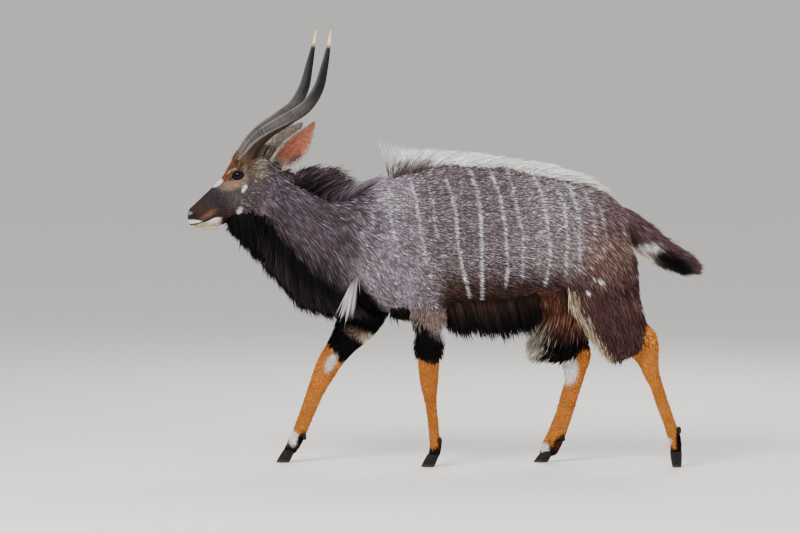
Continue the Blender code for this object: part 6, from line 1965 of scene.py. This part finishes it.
# %% Claws
HOOVES = {
    "hoof_fore_left": ("foreleg_left", -0.041, 0.045, 0.022, 0.050),
    "hoof_fore_right": ("foreleg_right", -0.588, 0.045, 0.026, 0.050),
    "hoof_hind_left": ("hindleg_left", 0.873, 0.056, -0.004, 0.034),
    "hoof_hind_right": ("hindleg_right", 0.396, 0.040, 0.028, 0.054),
}
DEWCLAWS = {
    "foreleg_left": (-0.020, 0.108, 0.30),
    "foreleg_right": (-0.538, 0.108, 0.55),
    "hindleg_left": (0.881, 0.150, 0.25),
    "hindleg_right": (0.449, 0.104, 0.40),
}
CLAW_STEPS = (0.0, 0.12, 0.3, 0.5, 0.7, 0.86, 0.96, 1.0)


def claw(leg, coronet_x, coronet_z, toe_lean, sole_length, side):
    """One of the two claws of a hoof."""
    y = LEGS[leg][2]
    rings = []
    for share in CLAW_STEPS:
        z = (coronet_z + 0.003) * (1 - share)
        flare = 1.0 + 0.06 * sin(pi * share * 0.9)
        half = (0.0225 + (sole_length / 2 - 0.0225) * share) * flare * (0.97 if share == 1.0 else 1.0)
        middle = coronet_x - toe_lean * share
        ring = []
        for k in range(28):
            turn = tau * k / 28
            pinch = 1 - 0.25 * max(-cos(turn), 0) ** 2
            across = 0.0218 * flare * sin(turn) * pinch
            cleft = 0.0003 + 0.0022 * float(ramp(0.3, -1.0, cos(turn))) * (0.3 + 0.7 * share)
            across = max(across * side, cleft) * side
            ring.append(Vector((middle + half * cos(turn), y + across, z)))
        rings.append(ring)
    return link("claw", mesh_from("claw", *skin_rings(rings)))


def hoof_colours(mesh):
    points, _ = places_of(mesh)
    worn = 1 - ramp(0.0, 0.012, points[:, 2])
    colours = np.tile(linear("#1b1716"), (len(points), 1))
    colours += (linear("#5c4e43") - colours) * (worn * 0.55)[:, None]
    store_colours(mesh, colours)


for name, sizes in HOOVES.items():
    claws = join_meshes(name + "_claws", [claw(*sizes, side) for side in (-1, 1)])
    hoof_colours(claws.data)
    mesh = finish_mesh(claws.data, hoof)
    mesh.set_sharp_from_angle(angle=radians(50))
    discard([claws])
    add_piece(name + "_horny", mesh, (name,))

# %% Dewclaws
dewclaws = []
for leg, (x, z, lean) in DEWCLAWS.items():
    for side in (-1, 1):
        top = Vector((x, LEGS[leg][2] + side * 0.011, z))
        down = Vector((lean, side * 0.10, -1.0)).normalized() * 0.024
        path = [top + down * (t / 6) for t in range(7)]
        radii = [0.0088, 0.0094, 0.0092, 0.0086, 0.0074, 0.0056, 0.0028]
        dewclaws.append(tube_along("dewclaw", path, radii, sides=16))
dewclaws = join_meshes("dewclaws", dewclaws)
hoof_colours(dewclaws.data)
mesh = finish_mesh(dewclaws.data, hoof)
discard([dewclaws])
add_piece("dewclaws_horny", mesh)
print("whole model", TOTAL["triangles"], "triangles")

# %% [markdown]
# ## Studio and camera
#
# A plain pale floor under a pale sky of even light, with one large soft lamp high in front and a
# weaker one behind, shows the fur without hard shadows. Far out the floor curves up all round, as the
# paper of a photo studio does, so no line crosses the picture. The camera stands far off with a long lens, as
# the photographer did, a little above the animal's belly.

# %% Floor and light
floor_material, floor_shader = new_material("floor_paint_matt", Roughness=0.9)
floor_tone = add_node(floor_material, "RGB")
floor_tone.outputs[0].default_value = (*linear("#e6e3de"), 1)
floor_material.node_tree.links.new(
    varied(floor_material, floor_tone.outputs[0], noise(floor_material, 60.0), 0.98, 1.02),
    floor_shader.inputs["Base Color"])
BOWL_FLAT, BOWL_RISE, BOWL_STEPS, BOWL_SIDES = 26.0, 30.0, 32, 96
profile = [(BOWL_FLAT * share, 0.0) for share in (0.25, 0.5, 0.75)]
profile += [(BOWL_FLAT + BOWL_RISE * sin(pi / 2 * step / BOWL_STEPS),
             BOWL_RISE * (1 - cos(pi / 2 * step / BOWL_STEPS))) for step in range(BOWL_STEPS + 1)]
floor_points = [(reach * cos(tau * k / BOWL_SIDES), reach * sin(tau * k / BOWL_SIDES), height)
                for reach, height in profile for k in range(BOWL_SIDES)] + [(0.0, 0.0, 0.0)]
floor_faces = [(i * BOWL_SIDES + k, (i + 1) * BOWL_SIDES + k,
                (i + 1) * BOWL_SIDES + (k + 1) % BOWL_SIDES, i * BOWL_SIDES + (k + 1) % BOWL_SIDES)
               for i in range(len(profile) - 1) for k in range(BOWL_SIDES)]
floor_faces += [(len(floor_points) - 1, k, (k + 1) % BOWL_SIDES) for k in range(BOWL_SIDES)]
floor_mesh = bpy.data.meshes.new("floor")
floor_mesh.from_pydata(floor_points, [], floor_faces)
floor_mesh.shade_smooth()
floor = link("floor", floor_mesh)
floor_mesh.materials.append(floor_material)

world = bpy.data.worlds.new("studio")
bpy.context.scene.world = world
world.use_nodes = True
world.node_tree.nodes["Background"].inputs["Color"].default_value = (*linear("#e6e8ea"), 1)
world.node_tree.nodes["Background"].inputs["Strength"].default_value = 1.02


def soft_lamp(name, place, aim, size, power):
    lamp = bpy.data.lights.new(name, "AREA")
    lamp.shape = "DISK"
    lamp.size = size
    lamp.energy = power
    piece = bpy.data.objects.new(name, lamp)
    bpy.context.scene.collection.objects.link(piece)
    piece.location = place
    piece.rotation_euler = (Vector(aim) - Vector(place)).to_track_quat("-Z", "Y").to_euler()
    return piece


soft_lamp("key", (-2.2, -3.6, 4.4), (0, 0, 0.8), 2.6, 400)
soft_lamp("fill", (3.2, -3.0, 2.0), (0, 0, 0.8), 2.6, 60)
soft_lamp("rim", (1.2, 3.6, 3.8), (0, 0, 0.9), 2.4, 150)

# %% Camera
CAMERA_DISTANCE = 16.8
CAMERA_ELEVATION = radians(3.5)
target = PLACE.translation + Vector((-0.167, 0.0, 0.752))
camera = bpy.data.objects.new("camera", bpy.data.cameras.new("camera"))
bpy.context.scene.collection.objects.link(camera)
camera.data.lens = 200
camera.data.sensor_width = 36
camera.data.clip_end = 200
camera.location = target + Vector((0, -cos(CAMERA_ELEVATION), sin(CAMERA_ELEVATION))) * CAMERA_DISTANCE
camera.rotation_euler = (target - camera.location).to_track_quat("-Z", "Y").to_euler()
bpy.context.scene.camera = camera
